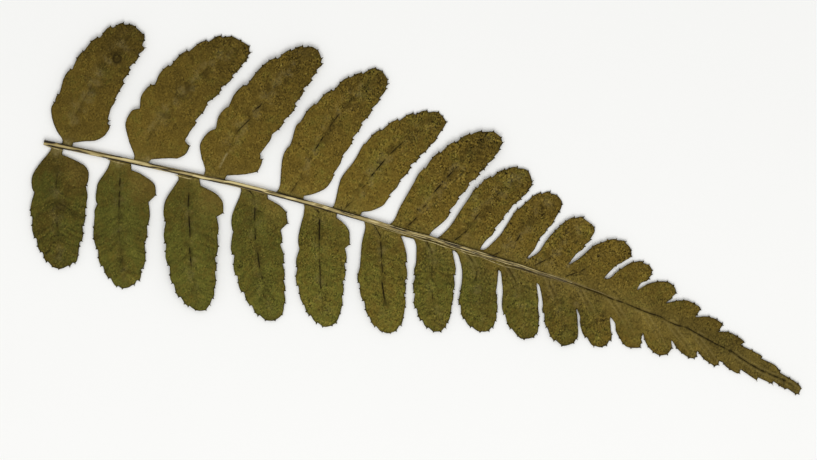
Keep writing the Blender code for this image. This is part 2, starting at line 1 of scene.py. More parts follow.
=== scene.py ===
"""Pressed fern frond: its thin toothed blade, grooved stalk, fibres and ribs, built round the frame.

Tables and plans are in millimetres on the frond itself: x runs from the cut end of the stalk
towards the tip, and y to the left of it. Finished pieces are in metres, where the frame is.
"""

import heapq
import math
import random
from collections import namedtuple

import bmesh
import bpy
import numpy as np
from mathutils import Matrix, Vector, noise
from mathutils.bvhtree import BVHTree
from mathutils.geometry import delaunay_2d_cdt, intersect_line_line_2d
from mathutils.kdtree import KDTree


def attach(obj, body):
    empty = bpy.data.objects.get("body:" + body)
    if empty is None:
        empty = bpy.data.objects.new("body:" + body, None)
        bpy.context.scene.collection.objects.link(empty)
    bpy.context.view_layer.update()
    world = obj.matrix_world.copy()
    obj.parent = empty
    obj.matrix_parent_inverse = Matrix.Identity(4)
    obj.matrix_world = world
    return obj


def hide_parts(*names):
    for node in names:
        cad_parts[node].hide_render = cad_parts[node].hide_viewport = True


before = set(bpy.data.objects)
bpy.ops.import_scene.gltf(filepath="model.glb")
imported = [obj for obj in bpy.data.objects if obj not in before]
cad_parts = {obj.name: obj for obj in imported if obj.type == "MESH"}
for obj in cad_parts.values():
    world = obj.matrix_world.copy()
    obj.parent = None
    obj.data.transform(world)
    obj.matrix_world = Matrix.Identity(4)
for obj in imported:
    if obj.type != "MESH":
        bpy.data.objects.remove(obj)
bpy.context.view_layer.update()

bl_info = {
    "name": "Pressed fern frond",
    "version": (1, 0, 0),
    "blender": (4, 5, 0),
    "location": "View3D > Sidebar > Fern",
    "description": "Builds a dried, pressed fern frond lying flat",
    "category": "Add Mesh",
}

NODE = "frond"
BODY = "root"

MM = 0.001
MIDDLE = (79.085, 5.79)     # the frame's origin, in the frond's own measure

# The photograph's frame: its size in pixels, what one of them measures on the frond, the point of
# the frond in its middle and how far the frond is turned in it.
PHOTO_SIZE = (817, 460)
PIXEL = 0.2
VIEW_MIDDLE = (74.55, 5.93)
VIEW_TURN = math.radians(18.06)
LENS = 180.0
SENSOR = 36.0

# The stalk's centre line, and how its section shrinks along it.
STALK_LINE = [
    (-0.1, -0.03), (10, 1.02), (20, 2.0), (30, 3.0), (40, 4.0), (52, 4.75), (65, 5.22), (74.5, 5.43),
    (80, 5.75), (95, 5.9), (110, 5.85), (120, 5.45), (131, 4.5), (140, 3.3), (150, 1.3), (157, 0.4),
]
STALK_TAPER = [(0, 1.0), (85, 0.97), (100, 0.86), (112, 0.55), (125, 0.45), (157, 0.3)]
STALK_SINKS = (96.0, 112.0)     # between these the blade closes over the stalk
STALK_MIDDLE = 0.62             # height of the section's middle over its underside
STALK_SECTION = [
    (-0.32, -0.62), (-0.46, -0.50), (-0.51, -0.25), (-0.50, 0.0), (-0.42, 0.18), (-0.30, 0.34),
    (-0.18, 0.48), (-0.06, 0.56), (0.05, 0.54), (0.13, 0.42), (0.19, 0.26), (0.24, 0.24),
    (0.30, 0.36), (0.37, 0.40), (0.44, 0.30), (0.50, 0.02), (0.49, -0.30), (0.43, -0.50),
    (0.30, -0.62),
]
# Gaps between leaflets that the solid's edge closes in on: the point where they end at the stalk,
# and points along their middle with half their width.
GAPS = [
    [(89.4, 6.8), (91.7, 11.7, 0.48), (92.5, 14.15, 0.48), (93, 15.7, 0.48), (93.4, 16.95, 0.4),
     (94.7, 18.8, 0.42), (95.8, 20.7, 0.35)],
    [(114.9, 9.2), (115, 9.3, 0.08), (115.3, 9.7, 0.2), (116.05, 10.9, 0.33), (116.6, 11.8, 0.37),
     (117.25, 12.45, 0.33), (118.1, 13.4, 0.36), (118.7, 14.1, 0.33)],
]
# Painted shade in the stalk's grooves and edges: half width, and points with their distance from its
# centre line.
SHADED_CREASES = [
    (0.2, [(-1, 0.26), (1.2, 0.28), (2, 0.34), (2.8, 0.38)]),
    (0.13, [(2.2, 0.34), (3.8, 0.35), (5.4, 0.3), (8.6, 0.3), (10.2, 0.27), (11.8, 0.26),
            (13.4, 0.28), (15, 0.4), (16.6, 0.52), (18.2, 0.6)]),
    (0.12, [(20.5, 0.47), (23, 0.3), (26, 0.2), (29, 0.3), (32, 0.26), (35, 0.3), (37, 0.42),
            (38, 0.55)]),
    (0.14, [(44.8, 0.55), (47, 0.45), (50, 0.35), (53, 0.42), (55, 0.55)]),
    (0.12, [(57, 0.55), (59, 0.45), (62.5, 0.36), (65, 0.42), (67, 0.55)]),
    (0.11, [(69, 0.5), (70, 0.42), (72.5, 0.43), (75, 0.42), (77.5, 0.4), (80, 0.48), (82.5, 0.32),
            (85, 0.3), (87.5, 0.45), (90, 0.55), (95, 0.5), (97.5, 0.55)]),
    (0.14, [(0.2, -0.4), (3.8, -0.4), (5.4, -0.27), (7, -0.22), (8.6, -0.26), (9.6, -0.3)]),
    (0.14, [(11.2, -0.34), (13.4, -0.34), (20, -0.38), (21.5, -0.3), (23, -0.12), (24.5, -0.2),
            (26, -0.3), (29, -0.32), (32, -0.47), (35, -0.36), (38, -0.2), (41, -0.25), (44, -0.2),
            (47, -0.35), (53, -0.35), (56, -0.3), (59, -0.44), (65, -0.44), (70, -0.48)]),
    (0.14, [(69, -0.47), (75, -0.46), (77.5, -0.48), (80, -0.42), (82.5, -0.44), (85, -0.3),
            (87.5, -0.15), (90, -0.33), (92.5, -0.46), (95, -0.5)]),
    (0.11, [(68, 0.05), (70, 0), (72, 0.1), (75, 0.02), (77.5, -0.1), (80, 0), (83, 0.12), (86, -0.02),
            (88, -0.12), (90, 0.05), (92, 0.1), (95, -0.1), (97.5, 0.15), (100, -0.2), (102.5, -0.05),
            (105, 0.13), (107.5, 0.22), (110, 0), (113, -0.03)]),
    (0.04, [(30, 0.05), (34, 0.08), (40, -0.02), (46, 0.12), (52, 0.0), (58, 0.2), (64, 0.1)]),
]
# Pale ridges along it, lightened as painted highlights, given in the same way, with how pale they are
# first.
RIDGE_HIGHLIGHTS = [
    (1.0, 0.14, [(11, 0), (14, 0.02), (16.6, 0.05), (20, 0), (22, 0)]),
    (1.3, 0.16, [(29.5, -0.1), (32, -0.2), (34.5, -0.12)]),
    (1.3, 0.18, [(36, 0.05), (38, 0.24), (41, 0.2), (44, 0.08), (46.5, -0.08)]),
    (1.2, 0.16, [(48.5, -0.05), (50, 0), (52, 0.05)]),
    (1.25, 0.17, [(54, 0.15), (56, 0.14), (58.5, -0.05)]),
    (0.95, 0.09, [(66, 0.15), (70, 0.2), (72.5, 0.12), (75, 0.15), (77.5, 0.1), (80, 0.2), (82.5, 0),
                 (85, 0), (87.5, 0.2), (90, 0.3), (93, 0.1), (95, 0.17), (97.5, 0.38), (102.5, 0.22),
                 (105, 0.4), (107.5, 0.45), (110, 0.25), (112.5, 0.3)]),
    (0.85, 0.08, [(67, -0.2), (72.5, -0.2), (75, -0.28), (77.5, -0.28), (80, -0.12), (82.5, -0.2),
                 (85, -0.43), (87.5, -0.38), (90, -0.1), (92.5, -0.2), (95, -0.34), (98, -0.1)]),
]
# How the stalk's base tone falls along it.
STALK_TONE = [(0, 0.7), (62, 0.7), (75, 0.42), (85, 0.24), (95, 0.17), (100, 0.15), (157, 0.2)]

# Each leaflet has a share of olive green in its brown, a brightness, a strength of its grain and a
# midrib. A third number on a point of the midrib says how dark its groove is up to the next point.
Leaflet = namedtuple("Leaflet", "green light grain rib")
FAINT = 0.12
UPPER = [
    Leaflet(0.0, 0.77, 0.6, [(4.4, 0.7), (4.3, 7, 0.3), (5.4, 13), (6.5, 18, 0.3), (8.4, 22),
        (10, 27.1)]),
    Leaflet(0.0, 0.88, 0.7, [(19, 2.5), (19.9, 8.9, 0.2), (22.3, 16.5), (24.3, 20.3, 0.3), (26.8, 24.9),
        (30.3, 31.3)]),
    Leaflet(0.0, 0.9, 0.9, [(34.6, 4.2), (34.9, 6.5), (35.5, 11), (36, 14, 0.8), (37.6, 17.2),
        (37.8, 18.8, 1), (38.9, 20.8), (40.5, 25.3), (41.8, 28), (45.2, 34.3)]),
    Leaflet(0.05, 1.0, 1.1, [(49.8, 5), (49.9, 5.8, 0.6), (50.5, 8.2), (51.3, 13.3, 0.4),
        (51.9, 15.5, 1), (52.6, 18.4), (53.2, 20.7, 0.8), (54.2, 23.6), (56, 28), (59, 34.1)]),
    Leaflet(0.12, 1.07, 1.15, [(61, 5.6), (61.2, 6.2, 0.7), (62, 8), (62.9, 10.5, 0.5), (63.6, 12),
        (64.1, 13.8, 1), (65.8, 18), (66.4, 19.3, 0.8), (68.2, 22.4), (73.4, 29.9)]),
    Leaflet(0.05, 0.95, 1.25, [(73.8, 6), (74, 6.5, 1), (75.3, 8.8), (75.9, 11, 0.8), (76.4, 12),
        (77.1, 14.7, 1), (78, 16.8), (78.6, 18.3, 1), (79.9, 20.9), (81, 23.3), (85.4, 29.6)]),
    Leaflet(0.15, 0.95, 1.3, [(83, 6.2), (83.9, 6.8, 1), (85.7, 9.5), (86.4, 11.8, 0.8), (87.1, 13.9),
        (88.2, 16.3), (89.6, 18.6), (91.5, 21.4), (93.4, 24.3)]),
    Leaflet(0.0, 0.96, 1.2, [(91.4, 6), (92.3, 6.6, 0.8), (93.2, 7.3), (95.6, 10.4, 0.9), (96.1, 12.1),
        (96.9, 14.3), (98.5, 18), (100, 21.6)]),
    Leaflet(0.08, 0.98, 1.4, [(99.5, 6.1), (100.5, 6.9, 0.8), (103.3, 9.7), (104.6, 12.5),
        (105.7, 15.3), (107.7, 18.8)]),
    Leaflet(-0.05, 0.9, 1.2, [(106, 6), (107.2, 6.8, 0.8), (110.6, 9.6), (113, 13), (116.2, 16.8)]),
    Leaflet(-0.05, 0.89, 0.95, [(113.5, 6.1), (118, 9.8), (122, 14)]),
    Leaflet(0.08, 0.89, 0.85, [(120, 5.7), (124.5, 9), (128.5, 11.5)]),
    Leaflet(0.05, 0.8, 0.75, [(126.5, 5), (130.5, 7.6), (134.5, 9.2)]),
    Leaflet(0.0, 0.72, 0.7, [(132.5, 4.4), (136.3, 6.4), (139.9, 7.5)]),
    Leaflet(0.0, 0.62, 0.7, [(138.5, 3.5), (141.7, 4.9), (145.1, 5.5)]),
]
LOWER = [
    Leaflet(0.65, 0.65, 0.5, [(2.7, 0), (4.3, -5, 0.6), (5, -8), (6.1, -11, 0.3), (8.2, -16.6),
        (10.9, -22.7)]),
    Leaflet(0.88, 0.82, 0.5, [(15.5, 1.4), (16.5, -2, 0.8), (18.2, -7.8), (19.7, -12.3, 0.3),
        (20.6, -14.5), (24.3, -22.4)]),
    Leaflet(0.88, 0.87, 0.6, [(29.3, 2.8), (30.5, -0.5, 0.9), (31.3, -3.3), (32, -5, 1), (33.5, -8.8),
        (33.8, -10.2, 0.9), (35.6, -14.4), (36.3, -16), (39.9, -22)]),
    Leaflet(0.9, 0.88, 0.8, [(40.2, 4), (41, 3.9, 1), (42.8, 2.9), (43.9, 0.9, 0.9), (44.6, -1.5),
        (45.3, -3.3, 1), (46.1, -5.4), (47.1, -7.3, 0.9), (48.6, -10.5), (49.1, -11.6, 0.7),
        (50, -12.5), (51.2, -14.9), (53.8, -19.7)]),
    Leaflet(0.78, 1.0, 1.1, [(54.3, 4.8), (55, 4.7, 0.9), (56.5, 3.6), (56.9, 2.6, 1), (58.7, -3),
        (59.5, -5.2, 0.9), (61.7, -11), (64.8, -17.2)]),
    Leaflet(0.62, 1.0, 1.1, [(66.5, 5.1), (67.5, 4.9, 0.8), (69.8, 2.8), (70, 2, 0.9), (72.3, -4),
        (72.7, -5.5, 1), (74.6, -9.3), (77.4, -14.6)]),
    Leaflet(0.7, 0.87, 1.0, [(77, 5.5), (78, 5.3, 0.6), (80.4, 3), (81.3, 0.4, 0.7), (81.9, -1.5),
        (82.8, -4, 0.7), (83.5, -5.8), (86.5, -11.3)]),
    Leaflet(0.72, 0.88, 0.9, [(85.7, 5.6), (86.7, 5.2, 0.5), (88.8, 3.8), (90.1, 2.2, 0.6), (90.8, 0),
        (95.3, -8.3)]),
    Leaflet(0.62, 0.85, 0.95, [(94.2, 5.6), (95.2, 5.3, 0.5), (98.1, 2.8), (100, -0.6), (103.9, -7)]),
    Leaflet(0.38, 0.79, 0.9, [(103.7, 5.6), (108.4, 0), (112, -5.8)]),
    Leaflet(0.32, 0.84, 0.95, [(110.5, 5.5), (115.2, 1), (118.6, -4)]),
    Leaflet(0.22, 0.9, 0.65, [(117.4, 5.2), (121.7, 1.8), (125, -2)]),
    Leaflet(0.18, 1.0, 0.85, [(124.5, 4.6), (128.3, 1.7), (131.2, -1.5)]),
    Leaflet(0.1, 0.88, 0.65, [(130.3, 4), (133.8, 1.8), (136.8, -0.5)]),
    Leaflet(0.05, 0.75, 0.65, [(136, 3.4), (139, 1.4), (141.6, -0.6)]),
]
TIP = Leaflet(0.0, 0.73, 0.8, [(146, 2.1), (150, 1.15), (153, 0.85), (155, 0.7), (158.6, -0.4)])

# The dark line that carries on where the blade has closed over the stalk.
OUTER_LINE = [
    (104, 6.0), (107.5, 6.1), (110, 5.88), (112.5, 5.77), (115, 5.7), (117.5, 5.42), (120, 5.45),
    (125, 5.05), (127.5, 5.1), (131, 4.5), (133.3, 4.6), (135.5, 4.2), (140, 3.35), (143.5, 2.9),
    (145.5, 2.2), (150, 1.15), (153, 0.85), (155, 0.7), (157, 0.2),
]

# Dark spots and pale spots in the blade: where, how wide and how strong.
STAINS = [
    (6.2, 18, 0.55, 0.75), (5.6, 13.2, 0.65, 0.75), (4.2, 7, 1.1, 0.35), (8.9, 19.3, 0.35, 0.7),
    (19.9, 8.9, 0.9, 0.35), (22.3, 16.5, 0.8, 0.5), (24.3, 20.3, 0.7, 0.45), (25.5, 22.8, 0.6, 0.3),
    (26.8, 24.9, 0.5, 0.3), (29.3, 28.3, 0.6, 0.45), (35.5, 11, 0.5, 0.6), (39.2, 22.8, 0.6, 0.5),
    (40.5, 25.3, 0.6, 0.4), (41.8, 28, 0.9, 0.35), (51.3, 13.3, 0.5, 0.5), (53.6, 21.4, 0.5, 0.3),
    (55.9, 32.9, 0.25, 0.9), (55.8, 31.2, 0.25, 0.9), (57.6, 30.5, 1.6, 0.35), (66, 19.8, 0.7, 0.45),
    (69, 24.2, 1.5, 0.3), (79.2, 19.8, 0.9, 0.45), (82, 24, 1.3, 0.3), (88.2, 16.3, 0.35, 0.8),
    (89.6, 18.6, 0.35, 0.8), (91.5, 21.4, 0.4, 0.8), (96.9, 14.3, 0.8, 0.5), (105.7, 15.3, 0.3, 0.9),
    (104.4, 13.4, 0.6, 0.6), (6.1, -11, 0.8, 0.3), (8.2, -16.6, 1.0, 0.3), (19.7, -12.3, 0.6, 0.35),
    (20.6, -14.5, 0.5, 0.4), (33, -7, 1.3, 0.2), (157.6, -0.6, 0.9, 0.6), (36.2, 14.6, 0.6, 0.35),
    (38.1, 19.2, 0.55, 0.45), (151, 1, 0.35, 0.5), (153.3, 0.8, 0.5, 0.6), (155.2, 0.5, 0.55, 0.7),
]
RING = (8.6, 20.4, 0.75, 0.26, 1.0)     # a round spot, darker along its rim: radius, rim and strength
PALE_SPOTS = [
    (5.8, 12, 0.8, 0.5), (6.2, 16.5, 0.8, 0.5), (7.4, 19.4, 0.5, 0.5), (23, 18.3, 0.9, 0.4),
    (24.8, 19.4, 0.6, 0.4), (98.9, 7.7, 0.35, 0.8), (107, 9, 0.35, 0.8), (111.1, 2.2, 0.5, 0.4),
    (38.4, 19.8, 0.5, 0.4), (64.9, 17.2, 0.8, 0.35), (85.2, 16.2, 0.6, 0.35), (4.5, 1.2, 0.8, 0.95),
    (2.8, -0.9, 0.9, 0.75), (3.9, -0.6, 0.45, 1.1), (20.5, 2.9, 0.7, 0.85), (15.3, 0.8, 0.8, 0.7),
    (13.5, 0.3, 0.4, 0.8), (3.6, 9, 0.9, 0.3), (20.6, 12, 1.2, 0.25),
]
PALE_CRACK = [(34.8, 6.2), (35.0, 7.6), (35.35, 9.2)]

# Blade: its mesh, its thickness and the relief of its upper side.
HIGH = 20.0                 # a height over the whole frond, to look down on it from
MARGIN_STEP = 0.24
UPPER_GAP = 0.27            # distance between the mesh's points on the upper side
UNDER_GAP = 0.62            # and on the underside
ROWS = (0.0, 0.2, -0.2, 0.45, -0.45)    # rows of points along a midrib, by their distance from it
ROW_STEP = 0.25
CORNER = math.radians(38)   # a sharper turn of the outline is a corner
UP_FACING = 0.15            # least upward part of the normal of a face of the solid's upper side
WELD = 1e-6
STRIP = 0.15                # half width of the blade inside the stalk
LOOP = 14                   # the longest stretch of margin that is cut out where it crosses itself
STALK_SIDE = 0.62           # the outline along the stalk lies nearer to its centre line than this
GAP_STEPS = 12              # places on each stretch of the middle of an opened gap
GAP_REACH = (0.25, 0.6)     # how far along it and beyond it the margin is drawn back
STALK_LEVEL = (0.87, 0.25)  # height of the blade at the stalk, and how much it falls towards the tip
LEVEL_ENDS = 118.0
SHORT_SINUS = (72.0, 97.0, 1.1)     # from, to: here the gaps on the lower side end this far from the stalk
SETTLE = 0.3                # how far the thin blade lies under the solid's upper face
SMOOTHING = 60              # rounds in which the solid's facets are smoothed out
BLUR = 25                   # and in which the leaflets' colours blend into each other
MARGIN_INSET = 0.09         # how far the margin lies inside the solid's outline
MARGIN_RAGGED = 0.04        # how ragged it is
RAGGED_LENGTH = 0.7
TOOTH = (0.1, 0.24)         # how far a tooth's tip is drawn out
TOOTH_ROOM = 0.4            # no tooth is drawn out where it would face another margin this near
TOOTH_GAP = (1.2, 2.1)      # distance between the small teeth near an apex
APEX_SHARE = 0.5            # how far along a leaflet they start
THICKENING = 1.2            # distance from the margin over which the blade reaches its full thickness
CLEARANCE = 0.02            # least height of the blade's underside
SHARP_EDGE = math.radians(55)
GROOVE_HALF = 0.2
GROOVE_EVERYWHERE = 0.35    # share of its depth that a groove has where it isn't dark
SHOULDER = (0.42, 0.2)      # distance of a groove's shoulder from its middle, and its half width
SHOULDER_RISE = 0.3         # its height, as a share of the groove's depth
WRINKLES = [(3.2, 0.05), (1.1, 0.022)]      # length and height
UNDER_VEINS = 1.2           # how far veins stand out beneath, as a share of their relief above
RIB_RADII = (0.24, 0.05)    # a midrib's radius at its foot over that at its apex, and the latter
RIB_ENDS = 0.93             # it ends at this share of the leaflet's length
FULL_RIB = 22.0             # a midrib of this length has its full radius, and a short one half
RIB_RISE = 0.03             # a rib's middle lies below the blade's underside, but for this rise,
RIB_SHOWS = 0.65            # by this share of its radius
CLOSING_RISE = 0.25         # the blade's low ridge where it has closed over the stalk
CLOSING_WIDTH = 1.2
OUTER_DEPTH = 0.9           # how dark the outer line is,
OUTER_FADES = (1.0, 9.0)    # between which distances from its start it grows so,
OUTER_REACH = 1.5           # and how far from it the blade belongs to it

# Side veins: how they lean towards the apex, bend, stand apart and fork.
VEIN_PITCH = 1.45
VEIN_LEAN = 0.75
VEIN_BEND = 0.035
VEIN_HALF = 0.13
FORK_AT = 0.42
FORK_SPREAD = 0.3
VEIN_SHADE = 0.06           # how much darker they are
STREAK = 0.35               # and how strongly the fine streaks between them show
STREAK_SIZE = (0.45, 3.0)

# Bundles of fibre: a plan and a radius each. The first is the splinter at the cut end, and the
# last two run along the stalk's lower side and beside the outer line.
FIBRES = [
    ([(0.3, -0.55), (1.5, -0.5), (3.0, -0.42), (4.4, -0.3)], 0.11),
    ([(12.6, 0.75), (14, 0.72), (15.6, 0.78), (17, 0.95)], 0.1),
    ([(26.6, 1.95), (28, 1.98), (29.6, 2.1), (31, 2.4)], 0.1),
    ([(67.5, 4.5), (70, 4.62), (72.5, 4.7), (75, 4.95), (77.5, 4.88), (80, 5.05), (82.5, 5.0),
      (85, 5.15), (87.5, 5.05), (90, 5.28), (92.5, 5.1), (95, 5.0), (97.5, 5.25), (100, 5.3),
      (102.5, 5.3), (105, 5.35), (107.5, 5.45), (110, 5.25), (112, 5.1)], 0.065),
    ([(x, y + 0.28) for x, y in OUTER_LINE[:6]] + [(119.4, 5.7)], 0.07),
]
# Bundles that leave the stalk for a leaflet: where on the stalk, how long they run beside it, how
# far from its centre line they start and end, how far into the leaflet they go and their radius.
BRANCHING = (66, 116)
BRANCH_RUN = (10, 16)
BRANCH_STARTS = (-0.25, 0.35)
BRANCH_ENDS = (0.42, 0.56)
BRANCH_POINTS = 9
BRANCH_BEND = 1.5
BRANCH_INTO = (4, 6)
BESIDE_RIB = 0.22
BRANCH_RADIUS = (0.04, 0.058)
LEAST_RADIUS = 0.01
FIBRE_SIZE = (0.008, 0.0001)    # length and width of the stalk's fine fibres, in metres
FIBRE_LIFT = 0.1            # how far over the surface a bundle's middle lies, in radii

# Stage, in metres: the floor's side and how far it lies under the frond, the lights' distance,
# side and power, how high the key light stands, and the room's brightness.
FLOOR_SIDE = 6.0
FLOOR_UNDER = 0.05 * MM
KEY_DISTANCE = 0.9
KEY_SIDE = 0.5
KEY_HEIGHT = math.radians(60)
OVERHEAD = ((0.05, 0.1, 1.4), 1.5, 7.0)
ROOM = 0.42

SEED = 5


def colour(code):
    """An sRGB hex code such as 6a5722 as a linear colour."""
    channels = [int(code[i:i + 2], 16) / 255 for i in (0, 2, 4)]
    return [c / 12.92 if c <= 0.04045 else ((c + 0.055) / 1.055) ** 2.4 for c in channels] + [1.0]


class FrondSettings(bpy.types.PropertyGroup):
    """Sizes and colours of the frond."""
    blade_thickness: bpy.props.FloatProperty(
        name="Blade thickness", description="Thickness of the blade away from its margin",
        default=0.0003, min=0.0001, max=0.0006, precision=5, unit="LENGTH")
    margin_thickness: bpy.props.FloatProperty(
        name="Margin thickness", description="Thickness of the blade at its margin",
        default=0.00014, min=0.00005, max=0.0004, precision=5, unit="LENGTH")
    vein_relief: bpy.props.FloatProperty(
        name="Vein relief", description="How deep the side veins lie in the upper side",
        default=0.00004, min=0.0, max=0.0001, precision=6, unit="LENGTH")
    groove_depth: bpy.props.FloatProperty(
        name="Groove depth", description="Depth of the grooves over the midribs",
        default=0.00012, min=0.0, max=0.0002, precision=6, unit="LENGTH")
    warm_colour: bpy.props.FloatVectorProperty(
        name="Warm brown", description="Brown of the leaflets on the upper side of the stalk",
        default=colour("64521d")[:3], min=0.0, max=1.0, size=3, subtype="COLOR")
    olive_colour: bpy.props.FloatVectorProperty(
        name="Olive", description="Green of the leaflets on the lower side of the stalk",
        default=colour("57551f")[:3], min=0.0, max=1.0, size=3, subtype="COLOR")
    # the straw is also the colour of the painted highlights on the stalk's ridges
    straw_colour: bpy.props.FloatVectorProperty(
        name="Straw", description="Pale colour of the stalk's ridges",
        default=colour("d1c088")[:3], min=0.0, max=1.0, size=3, subtype="COLOR")
    key_power: bpy.props.FloatProperty(
        name="Key light", description="Power of the light that shows the relief, in watts",
        default=3.4, min=0.0, max=50.0)


def on_curve(before, start, end, after, t):
    """The place at the share t of the way from start to end, on a smooth curve past all four."""
    return 0.5 * (2 * start + (end - before) * t
                  + (2 * before - 5 * start + 4 * end - after) * t * t
                  + (3 * start - 3 * end + after - before) * t ** 3)


def curve_through(points, step):
    """Points about `step` apart on the smooth curve through the given points."""
    points = [Vector(point[:2]) for point in points]
    ends = [2 * points[0] - points[1], *points, 2 * points[-1] - points[-2]]
    line = []
    for four in zip(ends, ends[1:], ends[2:], ends[3:]):
        count = max(1, round((four[2] - four[1]).length / step))
        line += [on_curve(*four, i / count) for i in range(count)]
    return line + [points[-1]]


def closed_curve(points, pieces):
    """A smooth closed line through the points, with the given number of pieces to each gap."""
    count = len(points)
    line = []
    for i in range(count):
        four = [Vector(points[(i + k) % count]) for k in (-1, 0, 1, 2)]
        line += [on_curve(*four, j / pieces) for j in range(pieces)]
    return line


def nearest_on(line, points):
    """For each point, how far along the line its nearest place lies and its signed distance."""
    line = np.array([tuple(p) for p in line])
    runs = np.diff(line, axis=0)
    lengths = np.hypot(runs[:, 0], runs[:, 1])
    starts = np.concatenate([[0.0], np.cumsum(lengths)])
    along = np.zeros(len(points))
    off = np.full(len(points), np.inf)
    for start, run, length, before in zip(line, runs, lengths, starts):
        to = points - start
        share = np.clip(to @ run / length ** 2, 0, 1)
        gap = to - share[:, None] * run
        distance = np.hypot(gap[:, 0], gap[:, 1])
        nearer = distance < np.abs(off)
        side = np.where(run[0] * gap[:, 1] - run[1] * gap[:, 0] < 0, -1.0, 1.0)
        along[nearer] = (before + share * length)[nearer]
        off[nearer] = (side * distance)[nearer]
    return along, off


def smooth_step(low, high, values):
    """0 below the low end, 1 above the high one, and a soft step between them."""
    t = np.clip((values - low) / (high - low), 0, 1)
    return t * t * (3 - 2 * t)


def bell(distance, half_width):
    """1 where the distance is 0, falling off softly to a third at the half width."""
    return np.exp(-(distance / half_width) ** 2)


def ripple(points, length, seed):
    """Smooth noise over the plan, about 1 high, with waves of the given length."""
    return np.array([noise.noise(Vector((x / length, y / length, seed))) for x, y in points])


def to_frame(x, y, z):
    """A place on the frond, in metres in the frame."""
    return ((x - MIDDLE[0]) * MM, (y - MIDDLE[1]) * MM, z * MM)


def stalk_scale(x):
    """Size of the stalk's section at x, over that at its cut end."""
    stations, scales = zip(*STALK_TAPER)
    return np.interp(x, stations, scales)


def read_outline(node):
    """The solid's outline from above, anticlockwise from its tip, in millimetres on the frond."""
    work = bmesh.new()
    work.from_mesh(node.data)
    bmesh.ops.remove_doubles(work, verts=work.verts, dist=WELD)
    work.normal_update()
    upper = {face for face in work.faces if face.normal.z > UP_FACING}
    rim = {edge for edge in work.edges if sum(face in upper for face in edge.link_faces) == 1}
    longest = []
    while rim:
        edge = rim.pop()
        loop = list(edge.verts)
        while True:
            onward = [edge for edge in loop[-1].link_edges if edge in rim]
            if not onward:
                break
            rim.discard(onward[0])
            loop.append(onward[0].other_vert(loop[-1]))
        if len(loop) > len(longest):
            longest = loop
    points = [Vector((v.co.x / MM + MIDDLE[0], v.co.y / MM + MIDDLE[1])) for v in longest[:-1]]
    work.free()
    if sum(a.x * b.y - b.x * a.y for a, b in zip(points, points[1:] + points[:1])) < 0:
        points.reverse()
    first = max(range(len(points)), key=lambda i: points[i].x)
    return points[first:] + points[:first]


def tuck_in(outline):
    """The outline with the stretches along the stalk drawn in, so that the stalk covers them."""
    line = curve_through(STALK_LINE, 1.0)
    _, off = nearest_on(line, np.array([tuple(p) for p in outline]))
    tucked = []
    for point, distance in zip(outline, off):
        if SHORT_SINUS[0] < point.x < SHORT_SINUS[1] and -SHORT_SINUS[2] < distance < 0:
            point = Vector((point.x, height_on(line, point.x) - SHORT_SINUS[2]))
        elif abs(distance) < STALK_SIDE * stalk_scale(point.x):
            x = max(point.x, STRIP)
            point = Vector((x, height_on(line, x) + math.copysign(STRIP, distance)))
        if not tucked or (point - tucked[-1]).length > MARGIN_STEP / 4:
            tucked.append(point)
    return tucked


def clear_gaps(margin):
    """The margin, drawn back on either side of the gaps that the solid's edge closes in on."""
    for sinus, *middle in GAPS:
        inmost = min(range(len(margin)), key=lambda i: (margin[i] - Vector(sinus)).length)
        line = []
        for start, end in zip(middle, middle[1:]):
            run = Vector(end[:2]) - Vector(start[:2])
            for step in range(GAP_STEPS):
                share = step / (GAP_STEPS - 1)
                half_width = start[2] + share * (end[2] - start[2])
                line.append((Vector(start[:2]) + share * run, run.normalized(), half_width))
        for i, point in enumerate(margin):
            place, run, half_width = min(line, key=lambda step: (step[0] - point).length)
            into = Vector((-run.y, run.x)) * (-1 if i < inmost else 1)
            gap = point - place
            depth = gap.dot(into)
            if abs(gap.dot(run)) < GAP_REACH[0] and -GAP_REACH[1] < depth < half_width:
                margin[i] = point + (half_width - depth) * into
    return margin


def without_loops(points):
    """The closed line without the small loops in which it crosses itself."""
    first = max(range(len(points)), key=lambda i: points[i].x)
    points = points[first:] + points[:first]
    kept = []
    i = 0
    while i < len(points):
        kept.append(points[i])
        for j in range(min(i + LOOP, len(points) - 2), i + 1, -1):
            crossing = intersect_line_line_2d(points[i], points[i + 1], points[j], points[j + 1])
            if crossing:
                kept.append(crossing)
                i = j
                break
        i += 1
    return [p for p, before in zip(kept, kept[-1:] + kept) if (p - before).length > MARGIN_STEP / 6]


def height_on(line, x):
    """The y of a line at x, where the line runs from left to right."""
    return float(np.interp(x, [p.x for p in line], [p.y for p in line]))


def is_corner(before, point, after):
    return (point - before).angle(after - point, 0.0) > CORNER


def outward(before, after):
    """The direction out of the blade at a point of its margin, from the points beside it."""
    run = (after - before).normalized()
    return Vector((run.y, -run.x))


def faces_another(tree, count, place, index):
    """Whether a stretch of the margin other than the one round the index lies close to a place."""
    near = [found for _, found, _ in tree.find_range((place.x, place.y, 0), TOOTH_ROOM)]
    return any(LOOP < (found - index) % count < count - LOOP for found in near)


def round_between_corners(outline):
    """Points of the outline close together, round between its corners, and for each point
    whether it is the tip of a tooth."""
    count = len(outline)
    corners = [i for i in range(count)
               if is_corner(outline[i - 1], outline[i], outline[(i + 1) % count])]
    margin, pointed = [], []
    for first, last in zip(corners, corners[1:] + [corners[0] + count]):
        a, b, c = outline[first - 1], outline[first], outline[(first + 1) % count]
        run = [outline[i % count] for i in range(first, last + 1)]
        piece = curve_through(run, MARGIN_STEP)[:-1]
        pointed += [(b - a).cross(c - b) > 0] + [False] * (len(piece) - 1)
        margin += piece
    return margin, pointed


